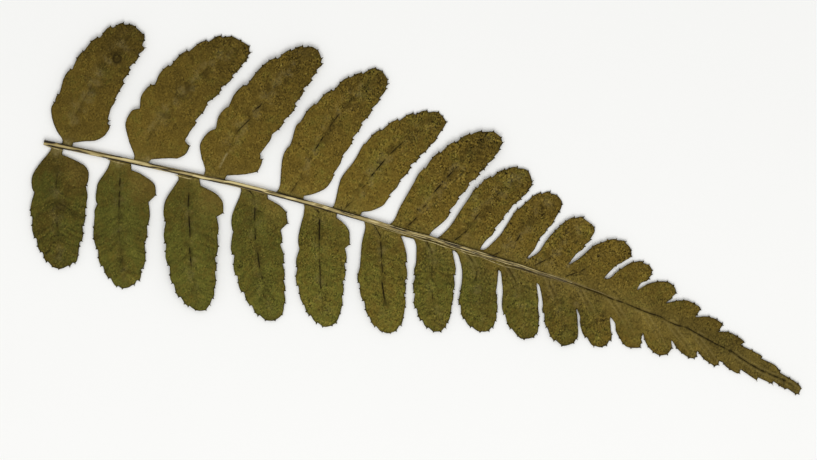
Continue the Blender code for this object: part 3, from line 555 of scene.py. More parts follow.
def add_small_teeth(margin, pointed, ribs, draw):
    """Makes further points of the margin tips, near an apex and where there is none for a while."""
    places = tree_of([place for rib in ribs for place in rib])
    shares = [i / len(rib) for rib in ribs for i in range(len(rib))]
    since, gap = 0.0, TOOTH_GAP[0]
    for i, point in enumerate(margin):
        since = 0.0 if pointed[i] else since + MARGIN_STEP
        ahead = any(pointed[(i + k) % len(margin)] for k in range(1, 4))
        share = shares[places.find((point.x, point.y, 0))[1]]
        if since > gap and not ahead and share > APEX_SHARE:
            pointed[i] = True
            since, gap = 0.0, draw.uniform(*TOOTH_GAP)


def dense_margin(outline, ribs):
    """The blade's margin, a little ragged, with the tips of its teeth drawn out, and those tips."""
    draw = random.Random(SEED)
    margin, pointed = round_between_corners(outline)
    add_small_teeth(margin, pointed, ribs, draw)
    places = tree_of(margin)
    ragged, tips = [], []
    for i, (point, tip) in enumerate(zip(margin, pointed)):
        way_out = outward(margin[i - 1], margin[(i + 1) % len(margin)])
        wander = noise.noise(Vector((point.x / RAGGED_LENGTH, point.y / RAGGED_LENGTH, SEED)))
        out = wander * MARGIN_RAGGED - MARGIN_INSET
        if tip:
            drawn = MARGIN_INSET + draw.uniform(*TOOTH)
            tips.append(point)
            if not faces_another(places, len(margin), point + way_out * TOOTH_ROOM, i):
                out += drawn
        ragged.append(point + way_out * out)
    return without_loops(ragged), tips


def level_crossings(margin):
    """A function that says where the margin crosses a level line, from left to right."""
    x, y = np.array([tuple(p) for p in margin]).T
    next_x, next_y = np.roll(x, -1), np.roll(y, -1)

    def crossings(level):
        crossed = (y > level) != (next_y > level)
        share = (level - y[crossed]) / (next_y[crossed] - y[crossed])
        return np.sort(x[crossed] + (next_x[crossed] - x[crossed]) * share)

    return crossings


def inside_rows(margin, gap):
    """Points of an even triangular grid inside the margin."""
    crossings = level_crossings(margin)
    left, right = min(p.x for p in margin), max(p.x for p in margin)
    level, top = min(p.y for p in margin) + gap / 2, max(p.y for p in margin)
    found = []
    shift = 0.0
    while level < top:
        row = np.arange(left + shift, right, gap)
        within = np.searchsorted(crossings(level), row) % 2 == 1
        found += [Vector((float(at), float(level))) for at in row[within]]
        level += gap * math.sqrt(3) / 2
        shift = gap / 2 - shift
    return found


def points_within(margin, points):
    crossings = level_crossings(margin)
    return [point for point in points if np.count_nonzero(crossings(point.y) < point.x) % 2]


def tree_of(points):
    """The points in plan, for finding the nearest."""
    tree = KDTree(len(points))
    for i, point in enumerate(points):
        tree.insert((point[0], point[1], 0), i)
    tree.balance()
    return tree


def far_from(points, others, least):
    """Those of the points that lie further than `least` from all the others given."""
    tree = tree_of(others)
    return [p for p in points if tree.find((p[0], p[1], 0))[2] > least]


def rib_rows(line):
    """Rows of points on a midrib and beside it, so that its groove has a crisp form."""
    rows = []
    for before, point, after in zip(line, line[1:], line[2:]):
        run = (after - before).normalized()
        for off in ROWS:
            rows.append(point + Vector((-run.y, run.x)) * off)
    return rows


class Sheet:
    """One face of the blade in plan: its points, the margin first, and its triangles."""

    def __init__(self, margin, gap, rows):
        rows = far_from(points_within(margin, rows), margin, ROW_STEP * 0.8)
        inner = far_from(inside_rows(margin, gap), margin + rows, gap * 0.62)
        points = margin + rows + inner
        plan, _, faces, _, _, round_it = delaunay_2d_cdt(
            points, [], [list(range(len(margin)))], 0, WELD, True)
        if len(plan) != len(points):
            raise RuntimeError("two points of the blade fall together")
        self.margin = len(margin)
        self.points = np.array([tuple(p) for p in plan])
        self.triangles = np.array([face for face, inside in zip(faces, round_it) if inside])
        pairs = np.concatenate([self.triangles[:, [0, 1]], self.triangles[:, [1, 2]],
                                self.triangles[:, [2, 0]]])
        self.edges = np.unique(np.sort(pairs, axis=1), axis=0)

    def smoothed(self, heights, rounds):
        """The values at the points, each drawn towards its neighbours' mean in every round."""
        first, second = self.edges.T
        count = len(self.points)
        degree = np.bincount(first, minlength=count) + np.bincount(second, minlength=count)
        degree = np.maximum(degree, 1)
        for _ in range(rounds):
            total = (np.bincount(first, heights[second], count)
                     + np.bincount(second, heights[first], count))
            heights = (heights + total / degree) / 2
        return heights

    def reached_from(self, lines):
        """The number of the line from which each point is reached first across the blade."""
        lengths = np.hypot(*(self.points[self.edges[:, 0]] - self.points[self.edges[:, 1]]).T)
        beside = [[] for _ in self.points]
        for (a, b), length in zip(self.edges.tolist(), lengths.tolist()):
            beside[a].append((b, length))
            beside[b].append((a, length))
        tree = tree_of(self.points)
        queue = []
        for number, line in enumerate(lines):
            for place in line:
                _, index, gap = tree.find((place[0], place[1], 0))
                queue.append((gap, index, number))
        heapq.heapify(queue)
        label = np.full(len(self.points), -1)
        while queue:
            reach, index, number = heapq.heappop(queue)
            if label[index] >= 0:
                continue
            label[index] = number
            for other, length in beside[index]:
                if label[other] < 0:
                    heapq.heappush(queue, (reach + length, other, number))
        return np.maximum(label, 0)


class Frond:
    """The frond's lines, and where the points of a sheet lie with regard to them."""

    def __init__(self):
        self.leaflets = UPPER + LOWER + [TIP]
        self.ribs = [curve_through(leaflet.rib, ROW_STEP) for leaflet in self.leaflets]
        self.stalk = curve_through(STALK_LINE, 1.0)
        self.outer = curve_through(OUTER_LINE, ROW_STEP)
        outline = clear_gaps(tuck_in(read_outline(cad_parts[NODE])))
        self.margin, self.tips = dense_margin(outline, self.ribs)
        rows = []
        for rib in self.ribs + [self.outer]:
            rows += rib_rows(rib)
        rows = self.apart(rows)
        self.upper = Sheet(self.margin, UPPER_GAP, rows)
        self.under = Sheet(self.margin, UNDER_GAP, [])
        for sheet in (self.upper, self.under):
            self.survey(sheet)

    @staticmethod
    def apart(points):
        """The points without any that lies close to an earlier one."""
        cells = {}
        kept = []
        least = ROW_STEP * 0.6
        for point in points:
            cell = (int(point.x // least), int(point.y // least))
            near = [other for i in (-1, 0, 1) for j in (-1, 0, 1)
                    for other in cells.get((cell[0] + i, cell[1] + j), [])]
            if all((point - other).length > least for other in near):
                cells.setdefault(cell, []).append(point)
                kept.append(point)
        return kept

    def survey(self, sheet):
        """Where each point of the sheet lies: on which leaflet, how far along and across it, how
        far from the margin, the stalk and the nearest groove, and how dark that groove is."""
        label = sheet.reached_from(self.ribs)
        count = len(sheet.points)
        sheet.label = label
        sheet.along, sheet.across = np.zeros(count), np.zeros(count)
        sheet.length, sheet.half, sheet.groove = np.ones(count), np.ones(count), np.zeros(count)
        for number, rib in enumerate(self.ribs):
            mine = np.flatnonzero(label == number)
            if not len(mine):
                continue
            along, across = nearest_on(rib, sheet.points[mine])
            length = sum((b - a).length for a, b in zip(rib, rib[1:]))
            sheet.along[mine], sheet.across[mine] = along, across
            sheet.length[mine] = length
            sheet.half[mine] = max(np.percentile(np.abs(across), 97), 0.5)
            sheet.groove[mine] = self.groove_depth(self.leaflets[number].rib, length, along)
        tree = tree_of(self.margin)
        sheet.edge = np.array([tree.find((x, y, 0))[2] for x, y in sheet.points])
        sheet.edge[:sheet.margin] = 0.0
        _, sheet.from_stalk = nearest_on(self.stalk, sheet.points)
        outer_along, outer_off = nearest_on(self.outer, sheet.points)
        outer_off = np.abs(outer_off)
        outer_depth = smooth_step(*OUTER_FADES, outer_along) * OUTER_DEPTH
        sheet.rib = np.abs(sheet.across)
        nearer = (outer_off < sheet.rib + 0.1) & (outer_off < OUTER_REACH)
        sheet.rib[nearer] = outer_off[nearer]
        sheet.groove[nearer] = outer_depth[nearer]

    @staticmethod
    def groove_depth(rib, length, along):
        """How dark the groove is at places along a midrib, from the numbers on its points."""
        places = [Vector(point[:2]) for point in rib]
        ends = np.cumsum([0.0] + [(b - a).length for a, b in zip(places, places[1:])])
        ends *= length / ends[-1]
        depth = np.full(len(along), FAINT)
        for point, start, end in zip(rib, ends, ends[1:]):
            if len(point) == 3:
                fade = min(0.4, (end - start) / 3)
                inside = smooth_step(start - fade, start + fade, along)
                inside *= 1 - smooth_step(end - fade, end + fade, along)
                depth = np.maximum(depth, inside * point[2])
        return depth * (1 - smooth_step(0.8 * length, 0.97 * length, along))

    @staticmethod
    def vein_start(sheet):
        """How far along the midrib the side vein through each point leaves it."""
        away = np.abs(sheet.across)
        return sheet.along - VEIN_LEAN * away + VEIN_BEND * away ** 2

    def veins(self, sheet):
        """How near each point lies to a side vein: 1 on one, and 0 half way between two."""
        pitch = VEIN_PITCH * np.clip(sheet.half / 4.5, 0.5, 1.1)
        number = self.vein_start(sheet) / pitch + np.where(sheet.across > 0, 0.5, 0.0)
        beside = np.abs(number - np.round(number))
        outer_part = (np.abs(sheet.across) / sheet.half - FORK_AT) / (1 - FORK_AT)
        spread = FORK_SPREAD * np.clip(outer_part, 0, 1)
        slant = 1 / math.hypot(1, VEIN_LEAN)
        lines = bell(np.abs(beside - spread) * pitch * slant, VEIN_HALF)
        return lines * smooth_step(0.25, 0.8, sheet.rib) * smooth_step(0.1, 0.7, sheet.edge)

    def streaks(self, sheet):
        """Fine streaks that run the way the side veins do."""
        across, along = STREAK_SIZE
        return np.array([noise.noise(Vector((a / across, b / along, c * 7.3)))
                         for a, b, c in zip(self.vein_start(sheet), np.abs(sheet.across), sheet.label)])


def heights_from_solid(sheet):
    """Height of the solid's upper face over each point, with its facets smoothed out."""
    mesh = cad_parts[NODE].data
    solid = BVHTree.FromPolygons([v.co for v in mesh.vertices],
                                 [tuple(p.vertices) for p in mesh.polygons])
    heights = np.array([level_at(solid, x, y) for x, y in sheet.points], float)
    x = sheet.points[:, 0]
    on_stalk = (np.abs(sheet.from_stalk) < STALK_SIDE + 0.15) & (x < LEVEL_ENDS)
    beside_stalk = STALK_LEVEL[0] - STALK_LEVEL[1] * (1 - stalk_scale(x))
    heights[on_stalk] = beside_stalk[on_stalk]
    known = ~np.isnan(heights)
    tree = tree_of(sheet.points[known])
    for i in np.flatnonzero(~known):
        heights[i] = heights[known][tree.find((*sheet.points[i], 0))[1]]
    return sheet.smoothed(heights, SMOOTHING)


def upper_relief(sheet, settings):
    """Grooves, their shoulders, side veins and wrinkles on the blade's upper side."""
    depth = settings.groove_depth / MM
    deep = GROOVE_EVERYWHERE + (1 - GROOVE_EVERYWHERE) * sheet.groove
    relief = -depth * deep * bell(sheet.rib, GROOVE_HALF)
    relief += SHOULDER_RISE * depth * bell(sheet.rib - SHOULDER[0], SHOULDER[1])
    relief -= settings.vein_relief / MM * sheet.vein
    for number, (length, height) in enumerate(WRINKLES):
        relief += height * ripple(sheet.points, length, SEED + number) * smooth_step(0, 1, sheet.edge)
    closing = smooth_step(*STALK_SINKS, sheet.points[:, 0])
    relief += CLOSING_RISE * closing * bell(sheet.from_stalk, CLOSING_WIDTH)
    return relief


def spots(points, table):
    """How strongly the spots of a table show at each point."""
    total = np.zeros(len(points))
    for x, y, radius, strength in table:
        distance = np.hypot(points[:, 0] - x, points[:, 1] - y)
        uneven = 0.75 + 0.5 * ripple(points, 0.5, x) if strength > 0.25 else 1.0
        total = np.maximum(total, strength * bell(distance, radius) * uneven)
    return total


def of_leaflet(frond, sheet, name):
    """The named value of the leaflet that each point lies on."""
    return np.array([getattr(leaflet, name) for leaflet in frond.leaflets])[sheet.label]


def leaf_green(frond, sheet):
    """How olive the blade is. The lower leaflets are browner at their feet and shoulders."""
    browner = 0.35 * bell(sheet.share, 0.25) + 0.6 * sheet.shoulder
    green = of_leaflet(frond, sheet, "green") - np.where(sheet.lower, browner, 0)
    return sheet.smoothed(green, BLUR) + 0.2 * ripple(sheet.points, 5.5, 3.1)


def leaf_light(frond, sheet):
    """How bright it is along each leaflet, beside its midrib, in soft patches and in streaks."""
    x, share, lower = sheet.points[:, 0], sheet.share, sheet.lower
    size = np.clip((sheet.length - 14) / 12, 0, 1)
    towards_apex = np.where(lower, -0.14 + 0.28 * share, 0.12 - 0.1 * share - 0.35 * share ** 2)
    feet = bell(share, 0.1) * np.where(lower, 0.26 * (1 - smooth_step(90, 100, x)), -0.1)
    middle = 0.05 * bell(share - 0.65, 0.22) - 0.06 * bell(share - 0.25, 0.15)
    middle *= lower * smooth_step(50, 56, x) * (1 - smooth_step(100, 110, x))
    change = size * towards_apex + feet + middle + 0.1 * sheet.shoulder
    light = sheet.smoothed(of_leaflet(frond, sheet, "light") * (1 + change), BLUR)
    beside_rib = -0.08 * bell(sheet.rib, 0.9) * lower * (1 - smooth_step(50, 60, x))
    light *= 1.018 + beside_rib + 0.16 * ripple(sheet.points, 1.3, 15.7)
    streaks = frond.streaks(sheet) * smooth_step(0.15, 0.6, share) * np.where(lower, 1.0, 0.5)
    return light + STREAK * streaks - VEIN_SHADE * sheet.vein


def leaf_grey(sheet):
    """How grey it is near the stalk, along the midribs, at the feet and on the shoulders."""
    x = sheet.points[:, 0]
    fused = smooth_step(82, 108, x)
    foot = bell(np.maximum(np.abs(sheet.from_stalk) - 0.6, 0), 0.7) * (1 - smooth_step(60, 75, x))
    return np.maximum.reduce([sheet.near_stalk * (0.6 + 0.3 * fused), 0.15 * bell(sheet.rib, 0.9),
                              1.5 * foot, 0.55 * sheet.shoulder])


def leaf_stain_and_shade(frond, sheet, mottle, uneven):
    """How dark it is: in spots, at its teeth, in painted shade beside the stalk, and along the grooves."""
    points, x = sheet.points, sheet.points[:, 0]
    teeth = tree_of(frond.tips)
    to_tooth = np.array([teeth.find((*point, 0))[2] for point in points])
    tooth = bell(to_tooth, 0.36) * np.clip(0.75 + 0.9 * ripple(points, 2.6, 8.8), 0, 1)
    ring_x, ring_y, radius, rim, strength = RING
    out = np.hypot(x - ring_x, points[:, 1] - ring_y)
    ring = strength * np.maximum(bell(out - radius, rim), 0.8 * bell(out, radius))
    # painted shadow of the stalk on the blade beside it, stronger on its upper side
    beside = np.abs(sheet.from_stalk) - 0.5 * stalk_scale(x)
    stalk_shadow = bell(beside, 0.16) * smooth_step(38, 44, x) * (1 - smooth_step(100, 106, x))
    stalk_shadow *= np.where(sheet.from_stalk > 0, 0.6, 0.3)
    smudge = 0.5 * sheet.groove * bell(sheet.rib, 0.45) * uneven
    return np.maximum.reduce([spots(points, STAINS), tooth, ring, stalk_shadow,
                              np.clip(1.3 * mottle, 0, 0.5), smudge])


def leaf_bleach(sheet, mottle):
    """How pale it is: in spots and along the pale crack."""
    _, crack = nearest_on(curve_through(PALE_CRACK, 0.5), sheet.points)
    return np.maximum.reduce([spots(sheet.points, PALE_SPOTS), 1.2 * bell(crack, 0.15),
                              np.clip(-0.6 * mottle, 0, 0.2)])


def colour_fields(frond, sheet):
    """The blade's colouring at each point, as named shares. The sheet keeps what several need."""
    points, x = sheet.points, sheet.points[:, 0]
    share = sheet.share = sheet.along / sheet.length
    lower = sheet.lower = sheet.label >= len(UPPER)
    sheet.near_stalk = bell(sheet.from_stalk, 2.8 + 1.6 * lower * smooth_step(75, 90, x))
    sheet.shoulder = lower * bell(share - 0.18, 0.15) * smooth_step(0.5, 3, sheet.across)
    sheet.shoulder *= 1 - 0.7 * smooth_step(46, 58, x)
    mottle = (ripple(points, 1.7, 12.3) + 0.5 * ripple(points, 0.8, 4.7)) * bell(sheet.rib, 1.3)
    mottle *= np.where(lower, 0.5, 1.0) * smooth_step(0.08, 0.2, share)
    mottle *= (1 - smooth_step(0.85, 1, share)) * (1 - smooth_step(105, 115, x))
    uneven = np.clip(0.9 + 1.3 * ripple(points, 1.1, 6.2), 0, 1)
    # painted highlight along the raised shoulders of the midrib grooves near the stalk
    border = 0.3 * bell(sheet.rib - SHOULDER[0], 0.14) * sheet.near_stalk
    return {
        "edge": sheet.edge, "rib": sheet.rib, "groove": sheet.groove * uneven,
        "green": leaf_green(frond, sheet), "light": leaf_light(frond, sheet),
        "grey": leaf_grey(sheet), "stain": leaf_stain_and_shade(frond, sheet, mottle, uneven),
        "bleach": leaf_bleach(sheet, mottle), "border": border * smooth_step(60, 75, x) * lower,
        "speckle": sheet.smoothed(of_leaflet(frond, sheet, "grain"), BLUR) * (0.85 + 0.35 * share),
    }


def set_fields(mesh, fields):
    for name, values in fields.items():
        attribute = mesh.attributes.new(name, "FLOAT", "POINT")
        attribute.data.foreach_set("value", np.asarray(values, np.float32))


def feed(tree, node, inputs):
    """Gives inputs of the node, by name or number, a value or the socket that feeds them."""
    for name, value in inputs.items():
        if isinstance(value, bpy.types.NodeSocket):
            tree.links.new(value, node.inputs[name])
        else:
            node.inputs[name].default_value = value


def add_node(tree, kind, inputs=(), output=0, **settings):
    """Adds a node with its inputs and its own properties, and returns one of its outputs."""
    node = tree.nodes.new(kind)
    for name, value in settings.items():
        setattr(node, name, value)
    feed(tree, node, dict(inputs))
    return node.outputs[output] if node.outputs else None


def product(tree, first, *others):
    """The product of values and sockets."""
    for other in others:
        first = add_node(tree, "ShaderNodeMath", {0: first, 1: other}, operation="MULTIPLY")
    return first


def stirred(tree, value, strength, pattern, *shares):
    """The value, raised and lowered by a pattern about 0.5, as strongly as the shares say."""
    swing = add_node(tree, "ShaderNodeMath", {0: pattern, 1: 0.5}, operation="SUBTRACT")
    return add_node(tree, "ShaderNodeMath", {0: product(tree, swing, *shares), 1: strength, 2: value},
                    operation="MULTIPLY_ADD")


def painted(tree, base, paint, *shares):
    """The base with a colour laid over it, as thick as the product of the shares says."""
    return add_node(tree, "ShaderNodeMix", {0: product(tree, *shares), 6: base, 7: paint}, 2,
                    data_type="RGBA")


def grain(tree, size, detail, stretch=(1, 1, 1), spread=None):
    """Noise through the piece, in grains about `size` millimetres wide. A spread of (low, high,
    to low, to high) carries its values from the first range to the second."""
    place = add_node(tree, "ShaderNodeTexCoord", output="Object")
    scaled = add_node(tree, "ShaderNodeMapping", {"Vector": place, "Scale": stretch})
    noise_in_place = add_node(tree, "ShaderNodeTexNoise", {
        "Vector": scaled, "Scale": 1 / (size * MM), "Detail": detail, "Roughness": 0.6})
    if not spread:
        return noise_in_place
    return add_node(tree, "ShaderNodeMapRange", {0: noise_in_place, **dict(enumerate(spread, 1))},
                    interpolation_type="SMOOTHSTEP")


def new_material(name, *fields):
    """A material, its node tree, its shader and the sockets of the named shares on the mesh."""
    material = bpy.data.materials.new(name)
    material.use_nodes = True
    tree = material.node_tree
    shares = {field: add_node(tree, "ShaderNodeAttribute", output="Fac", attribute_name=field)
              for field in fields}
    return material, tree, tree.nodes["Principled BSDF"], shares


def dried_leaf(settings):
    """Pressed and dried leaf tissue: matt, mottled olive brown, with a fine grain of burst and sunken
    cells, dark along its margin and in its grooves, with painted highlights on the grooves' shoulders and
    painted shade beside the stalk."""
    material, tree, shader, share = new_material(
        "dried_leaf", "green", "light", "grey", "speckle", "bleach", "border", "stain", "edge", "rib",
        "groove", "under")
    cells = grain(tree, 0.3, 2, (1, 0.75, 1))       # coarser than real cells, so that they show
    tint = grain(tree, 0.8, 2)
    patch = grain(tree, 3.4, 3)
    clusters = grain(tree, 1.7, 2, spread=(0.35, 0.65, 0.55, 1.35))

    green = stirred(tree, stirred(tree, share["green"], 1.3, tint), 1.5, patch)
    warm, olive = [*settings.warm_colour, 1.0], [*settings.olive_colour, 1.0]
    base = painted(tree, painted(tree, warm, olive, green), colour("776934"), share["grey"], 0.5)
    light = stirred(tree, share["light"], 2.7, cells, share["speckle"], clusters)
    light = stirred(tree, light, 0.6, patch)
    surface_colour = add_node(tree, "ShaderNodeVectorMath", {0: base, 3: light}, operation="SCALE")

    burst = grain(tree, 0.32, 1, (1, 0.8, 1), (0.62, 0.74, 0.0, 0.55))
    sunken = grain(tree, 0.4, 1, (1, 1, 1.7), (0.37, 0.27, 0.0, 0.6))
    faded = grain(tree, 0.45, 2, spread=(0.35, 0.62, 0.25, 1.0))
    rim = add_node(tree, "ShaderNodeMapRange", {0: share["edge"], 1: 0.32, 2: 0.02},
                   interpolation_type="SMOOTHSTEP")
    ragged = grain(tree, 1.6, 2, spread=(0.35, 0.6, 0.35, 0.9))
    line = add_node(tree, "ShaderNodeMapRange", {0: share["rib"], 1: 0.19, 2: 0.05},
                    interpolation_type="SMOOTHSTEP")
    # over the tissue go its cells, pale spots, the painted shoulder highlights, stains with the painted
    # shade beside the stalk, the rim, the groove lines and the underside's colour
    for paint, *shares in (
            ("9a873e", burst, share["speckle"], clusters), ("2a2108", sunken, share["speckle"], clusters),
            ("948659", share["bleach"], faded), ("a8965c", share["border"], 0.6),
            ("1d1604", share["stain"], 0.88), ("261d07", rim, ragged),
            ("120d02", line, share["groove"]), ("7d774e", share["under"], 0.4)):
        surface_colour = painted(tree, surface_colour, colour(paint), *shares)

    rough = add_node(tree, "ShaderNodeMapRange", {0: cells, 1: 0.3, 2: 0.7, 3: 0.85, 4: 0.7},
                     interpolation_type="SMOOTHSTEP")
    bump = add_node(tree, "ShaderNodeBump", {"Strength": 0.6, "Distance": 0.00004, "Height": cells})
    feed(tree, shader, {"Base Color": surface_colour, "Normal": bump, "Roughness": rough,
                        "Specular IOR Level": 0.06})
    return material


def dried_stalk(settings):
    """Dried stalk: bundles of straw-coloured fibre, satin, with the painted highlights along its ridges
    and the painted shade in its grooves and on its flanks that its tone carries.
    """
    material, tree, shader, share = new_material("dried_stalk", "lengthwise", "across", "tone")
    fibres = add_node(tree, "ShaderNodeCombineXYZ", {
        0: product(tree, share["lengthwise"], 1 / FIBRE_SIZE[0]),
        1: product(tree, share["across"], 1 / FIBRE_SIZE[1])})
    streak = add_node(tree, "ShaderNodeTexNoise", {
        "Vector": fibres, "Scale": 1.0, "Detail": 3, "Roughness": 0.6})
    tone = product(tree, stirred(tree, 1.0, 1.0, streak), share["tone"])
    surface_colour = colour("1c1404")
    # low tone gives the painted shade of the grooves and flanks, and high tone the straw of the painted
    # highlights
    for paint, low, high in ((colour("8d7b48"), 0.05, 0.5), ([*settings.straw_colour, 1.0], 0.5, 0.95)):
        surface_colour = painted(tree, surface_colour, paint, add_node(
            tree, "ShaderNodeMapRange", {0: tone, 1: low, 2: high}, interpolation_type="SMOOTHSTEP"))
    bump = add_node(tree, "ShaderNodeBump", {"Strength": 0.7, "Distance": 0.00004, "Height": streak})
    feed(tree, shader, {"Base Color": surface_colour, "Normal": bump, "Roughness": 0.5,
                        "Specular IOR Level": 0.2})
    return material


def dried_fibre(settings):
    """Single bundles of fibre: pale straw that darkens where they sink into the leaf, and along the
    frond from its middle on."""
    material, tree, shader, share = new_material("dried_fibre", "fade")
    surface_colour = painted(tree, colour("8a7842"), [*settings.straw_colour, 1.0],
                   grain(tree, 1.1, 2, spread=(0.35, 0.65, 0.0, 1.0)))
    place = add_node(tree, "ShaderNodeTexCoord", output="Object")
    along = add_node(tree, "ShaderNodeSeparateXYZ", {0: place})
    for paint, value, low, high, most in (
            ("6f6035", share["fade"], 0.6, 1.0, 0.8), ("6c5b2c", along, 0.004, 0.03, 0.9)):
        surface_colour = painted(tree, surface_colour, colour(paint), add_node(
            tree, "ShaderNodeMapRange", {0: value, 1: low, 2: high, 4: most},
            interpolation_type="SMOOTHSTEP"))
    feed(tree, shader, {"Base Color": surface_colour, "Roughness": 0.5, "Specular IOR Level": 0.35})
    return material


def rib_fibre():
    """Raised midribs under the leaflets: smooth dry tissue, browner than the leaf round them."""
    material, tree, shader, _ = new_material("dried_midrib")
    uneven = grain(tree, 1.4, 3, spread=(0.35, 0.65, 0.0, 1.0))
    feed(tree, shader, {"Base Color": painted(tree, colour("6a5526"), colour("9b8648"), uneven),
                        "Roughness": 0.5})
    return material


def matt_board():
    """Pale matt board for the frond to lie on."""
    material, tree, shader, _ = new_material("matt_board")
    feed(tree, shader, {
        "Base Color": painted(tree, colour("f8f8f6"), colour("f6f6f4"), grain(tree, 60.0, 2)),
        "Roughness": 0.9, "Specular IOR Level": 0.1})
    return material


def new_piece(name, mesh, material):
    piece = bpy.data.objects.new(name, mesh)
    bpy.context.scene.collection.objects.link(piece)
    mesh.materials.clear()
    mesh.materials.append(material)
    return piece


def under_heights(upper, under, base, top, settings):
    """Heights of the blade's underside: its thickness below the upper side, and off the floor."""
    shell = BVHTree.FromPolygons([(x, y, z) for (x, y), z in zip(upper.points, base)],
                                 upper.triangles.tolist())
    level = np.zeros(len(under.points))
    for i, (x, y) in enumerate(under.points):
        hit = shell.ray_cast(Vector((x, y, HIGH)), Vector((0, 0, -1)))[0]
        level[i] = hit.z if hit else shell.find_nearest(Vector((x, y, 0.5)))[0].z
    level[:under.margin] = top[:upper.margin]
    least, full = settings.margin_thickness / MM, settings.blade_thickness / MM
    thickness = least + (full - least) * smooth_step(0, THICKENING, under.edge)
    veins = UNDER_VEINS * settings.vein_relief / MM * under.vein
    return np.maximum(level - thickness - veins, CLEARANCE)


def make_blade(settings):
    """The blade as one thin closed body: fine on its upper side, coarser beneath."""
    frond = Frond()
    upper, under = frond.upper, frond.under
    for sheet in (upper, under):
        sheet.vein = frond.veins(sheet)
    base = heights_from_solid(upper) - SETTLE
    top = base + upper_relief(upper, settings)
    bottom = under_heights(upper, under, base, top, settings)
    ring = upper.margin
    top[:ring] = np.maximum(top[:ring], bottom[:ring] + settings.margin_thickness / MM)

    corners = [to_frame(x, y, z) for sheet, heights in ((upper, top), (under, bottom))
               for (x, y), z in zip(sheet.points, heights)]
    count = len(upper.points)
    faces = upper.triangles.tolist()
    faces += [(c + count, b + count, a + count) for a, b, c in under.triangles.tolist()]
    faces += [(i, i + count, (i + 1) % ring + count, (i + 1) % ring) for i in range(ring)]
    mesh = bpy.data.meshes.new("blade")
    mesh.from_pydata(corners, [], faces)
    mesh.shade_smooth()
    mesh.set_sharp_from_angle(angle=SHARP_EDGE)

    above, beneath = colour_fields(frond, upper), colour_fields(frond, under)
    above["under"], beneath["under"] = np.zeros(count), np.ones(len(under.points))
    # the underside has no groove lines and no painted shoulder highlights
    beneath["groove"] = beneath["border"] = np.zeros(len(under.points))
    set_fields(mesh, {name: np.concatenate([above[name], beneath[name]]) for name in above})
    return new_piece("blade", mesh, dried_leaf(settings))


def sweep_tree():
    """Geometry nodes that sweep a section along every curve, by the curve's own radius, and keep
    how far along and how far across each point lies."""
    tree = bpy.data.node_groups.new("sweep_section", "GeometryNodeTree")
    for name, kind in (("Lines", "Geometry"), ("Section", "Object"), ("Thickness", "Float"),
                       ("Material", "Material")):
        tree.interface.new_socket(name, in_out="INPUT", socket_type="NodeSocket" + kind)
    tree.interface.new_socket("Geometry", in_out="OUTPUT", socket_type="NodeSocketGeometry")
    given = add_node(tree, "NodeGroupInput").node.outputs
    lines = add_node(tree, "GeometryNodeSetCurveNormal", {"Curve": given["Lines"]}, mode="Z_UP")
    section = add_node(tree, "GeometryNodeObjectInfo", {"Object": given["Section"]}, "Geometry")
    along = add_node(tree, "GeometryNodeSplineParameter").node.outputs
    where = add_node(tree, "GeometryNodeInputPosition")
    sideways = add_node(tree, "ShaderNodeSeparateXYZ", {0: where})
    for name, value in (("lengthwise", along["Length"]), ("fade", along["Factor"])):
        lines = add_node(tree, "GeometryNodeStoreNamedAttribute", {
            "Geometry": lines, "Name": name, "Value": value})
    section = add_node(tree, "GeometryNodeStoreNamedAttribute", {
        "Geometry": section, "Name": "across", "Value": sideways})
    radius = add_node(tree, "GeometryNodeInputRadius")
    scale = add_node(tree, "ShaderNodeMath", {0: radius, 1: given["Thickness"]}, operation="MULTIPLY")
    swept = add_node(tree, "GeometryNodeCurveToMesh", {
        "Curve": lines, "Profile Curve": section, "Scale": scale, "Fill Caps": True})
    smooth = add_node(tree, "GeometryNodeSetShadeSmooth", {"Geometry": swept})
    plain = add_node(tree, "GeometryNodeRealizeInstances", {"Geometry": smooth})
    dressed = add_node(tree, "GeometryNodeSetMaterial", {
        "Geometry": plain, "Material": given["Material"]})
    add_node(tree, "NodeGroupOutput", {"Geometry": dressed})
    return tree


def section_curve(name, points):
    """A closed section as a curve, in metres."""
    curve = bpy.data.curves.new(name, "CURVE")
    curve.dimensions = "3D"
    spline = curve.splines.new("POLY")
    spline.points.add(len(points) - 1)
    for point, (across, up) in zip(spline.points, points):
        point.co = (across * MM, up * MM, 0, 1)
    spline.use_cyclic_u = True
    section = bpy.data.objects.new(name, curve)
    bpy.context.scene.collection.objects.link(section)
    return section


def sweep(name, lines, section, material):
    """Sweeps the section along lines of (x, y, z, radius) by geometry nodes, as a plain mesh."""
    curve = bpy.data.curves.new(name + "_lines", "CURVE")
    curve.dimensions = "3D"
    for line in lines:
        spline = curve.splines.new("POLY")
        spline.points.add(len(line) - 1)
        for point, (x, y, z, radius) in zip(spline.points, line):
            point.co = (*to_frame(x, y, z), 1)
            point.radius = radius
    guide = bpy.data.objects.new(name + "_lines", curve)
    bpy.context.scene.collection.objects.link(guide)
    modifier = guide.modifiers.new("sweep", "NODES")
    tree = modifier.node_group = sweep_tree()
    given = {"Section": section, "Thickness": 1.0, "Material": material}
    for item in tree.interface.items_tree:
        if item.in_out == "INPUT" and item.name in given:
            modifier[item.identifier] = given[item.name]
    bpy.context.view_layer.update()
    graph = bpy.context.evaluated_depsgraph_get()
    mesh = bpy.data.meshes.new_from_object(guide.evaluated_get(graph))
    mesh.name = name
    weld(mesh)
    bpy.data.objects.remove(guide)
    bpy.data.objects.remove(section)
    return new_piece(name, mesh, material)


def weld(mesh):
    """Joins the mesh's doubled points and turns its faces outward."""
    work = bmesh.new()
    work.from_mesh(mesh)
    bmesh.ops.remove_doubles(work, verts=work.verts, dist=WELD)
    bmesh.ops.recalc_face_normals(work, faces=work.faces)
    work.to_mesh(mesh)
    work.free()


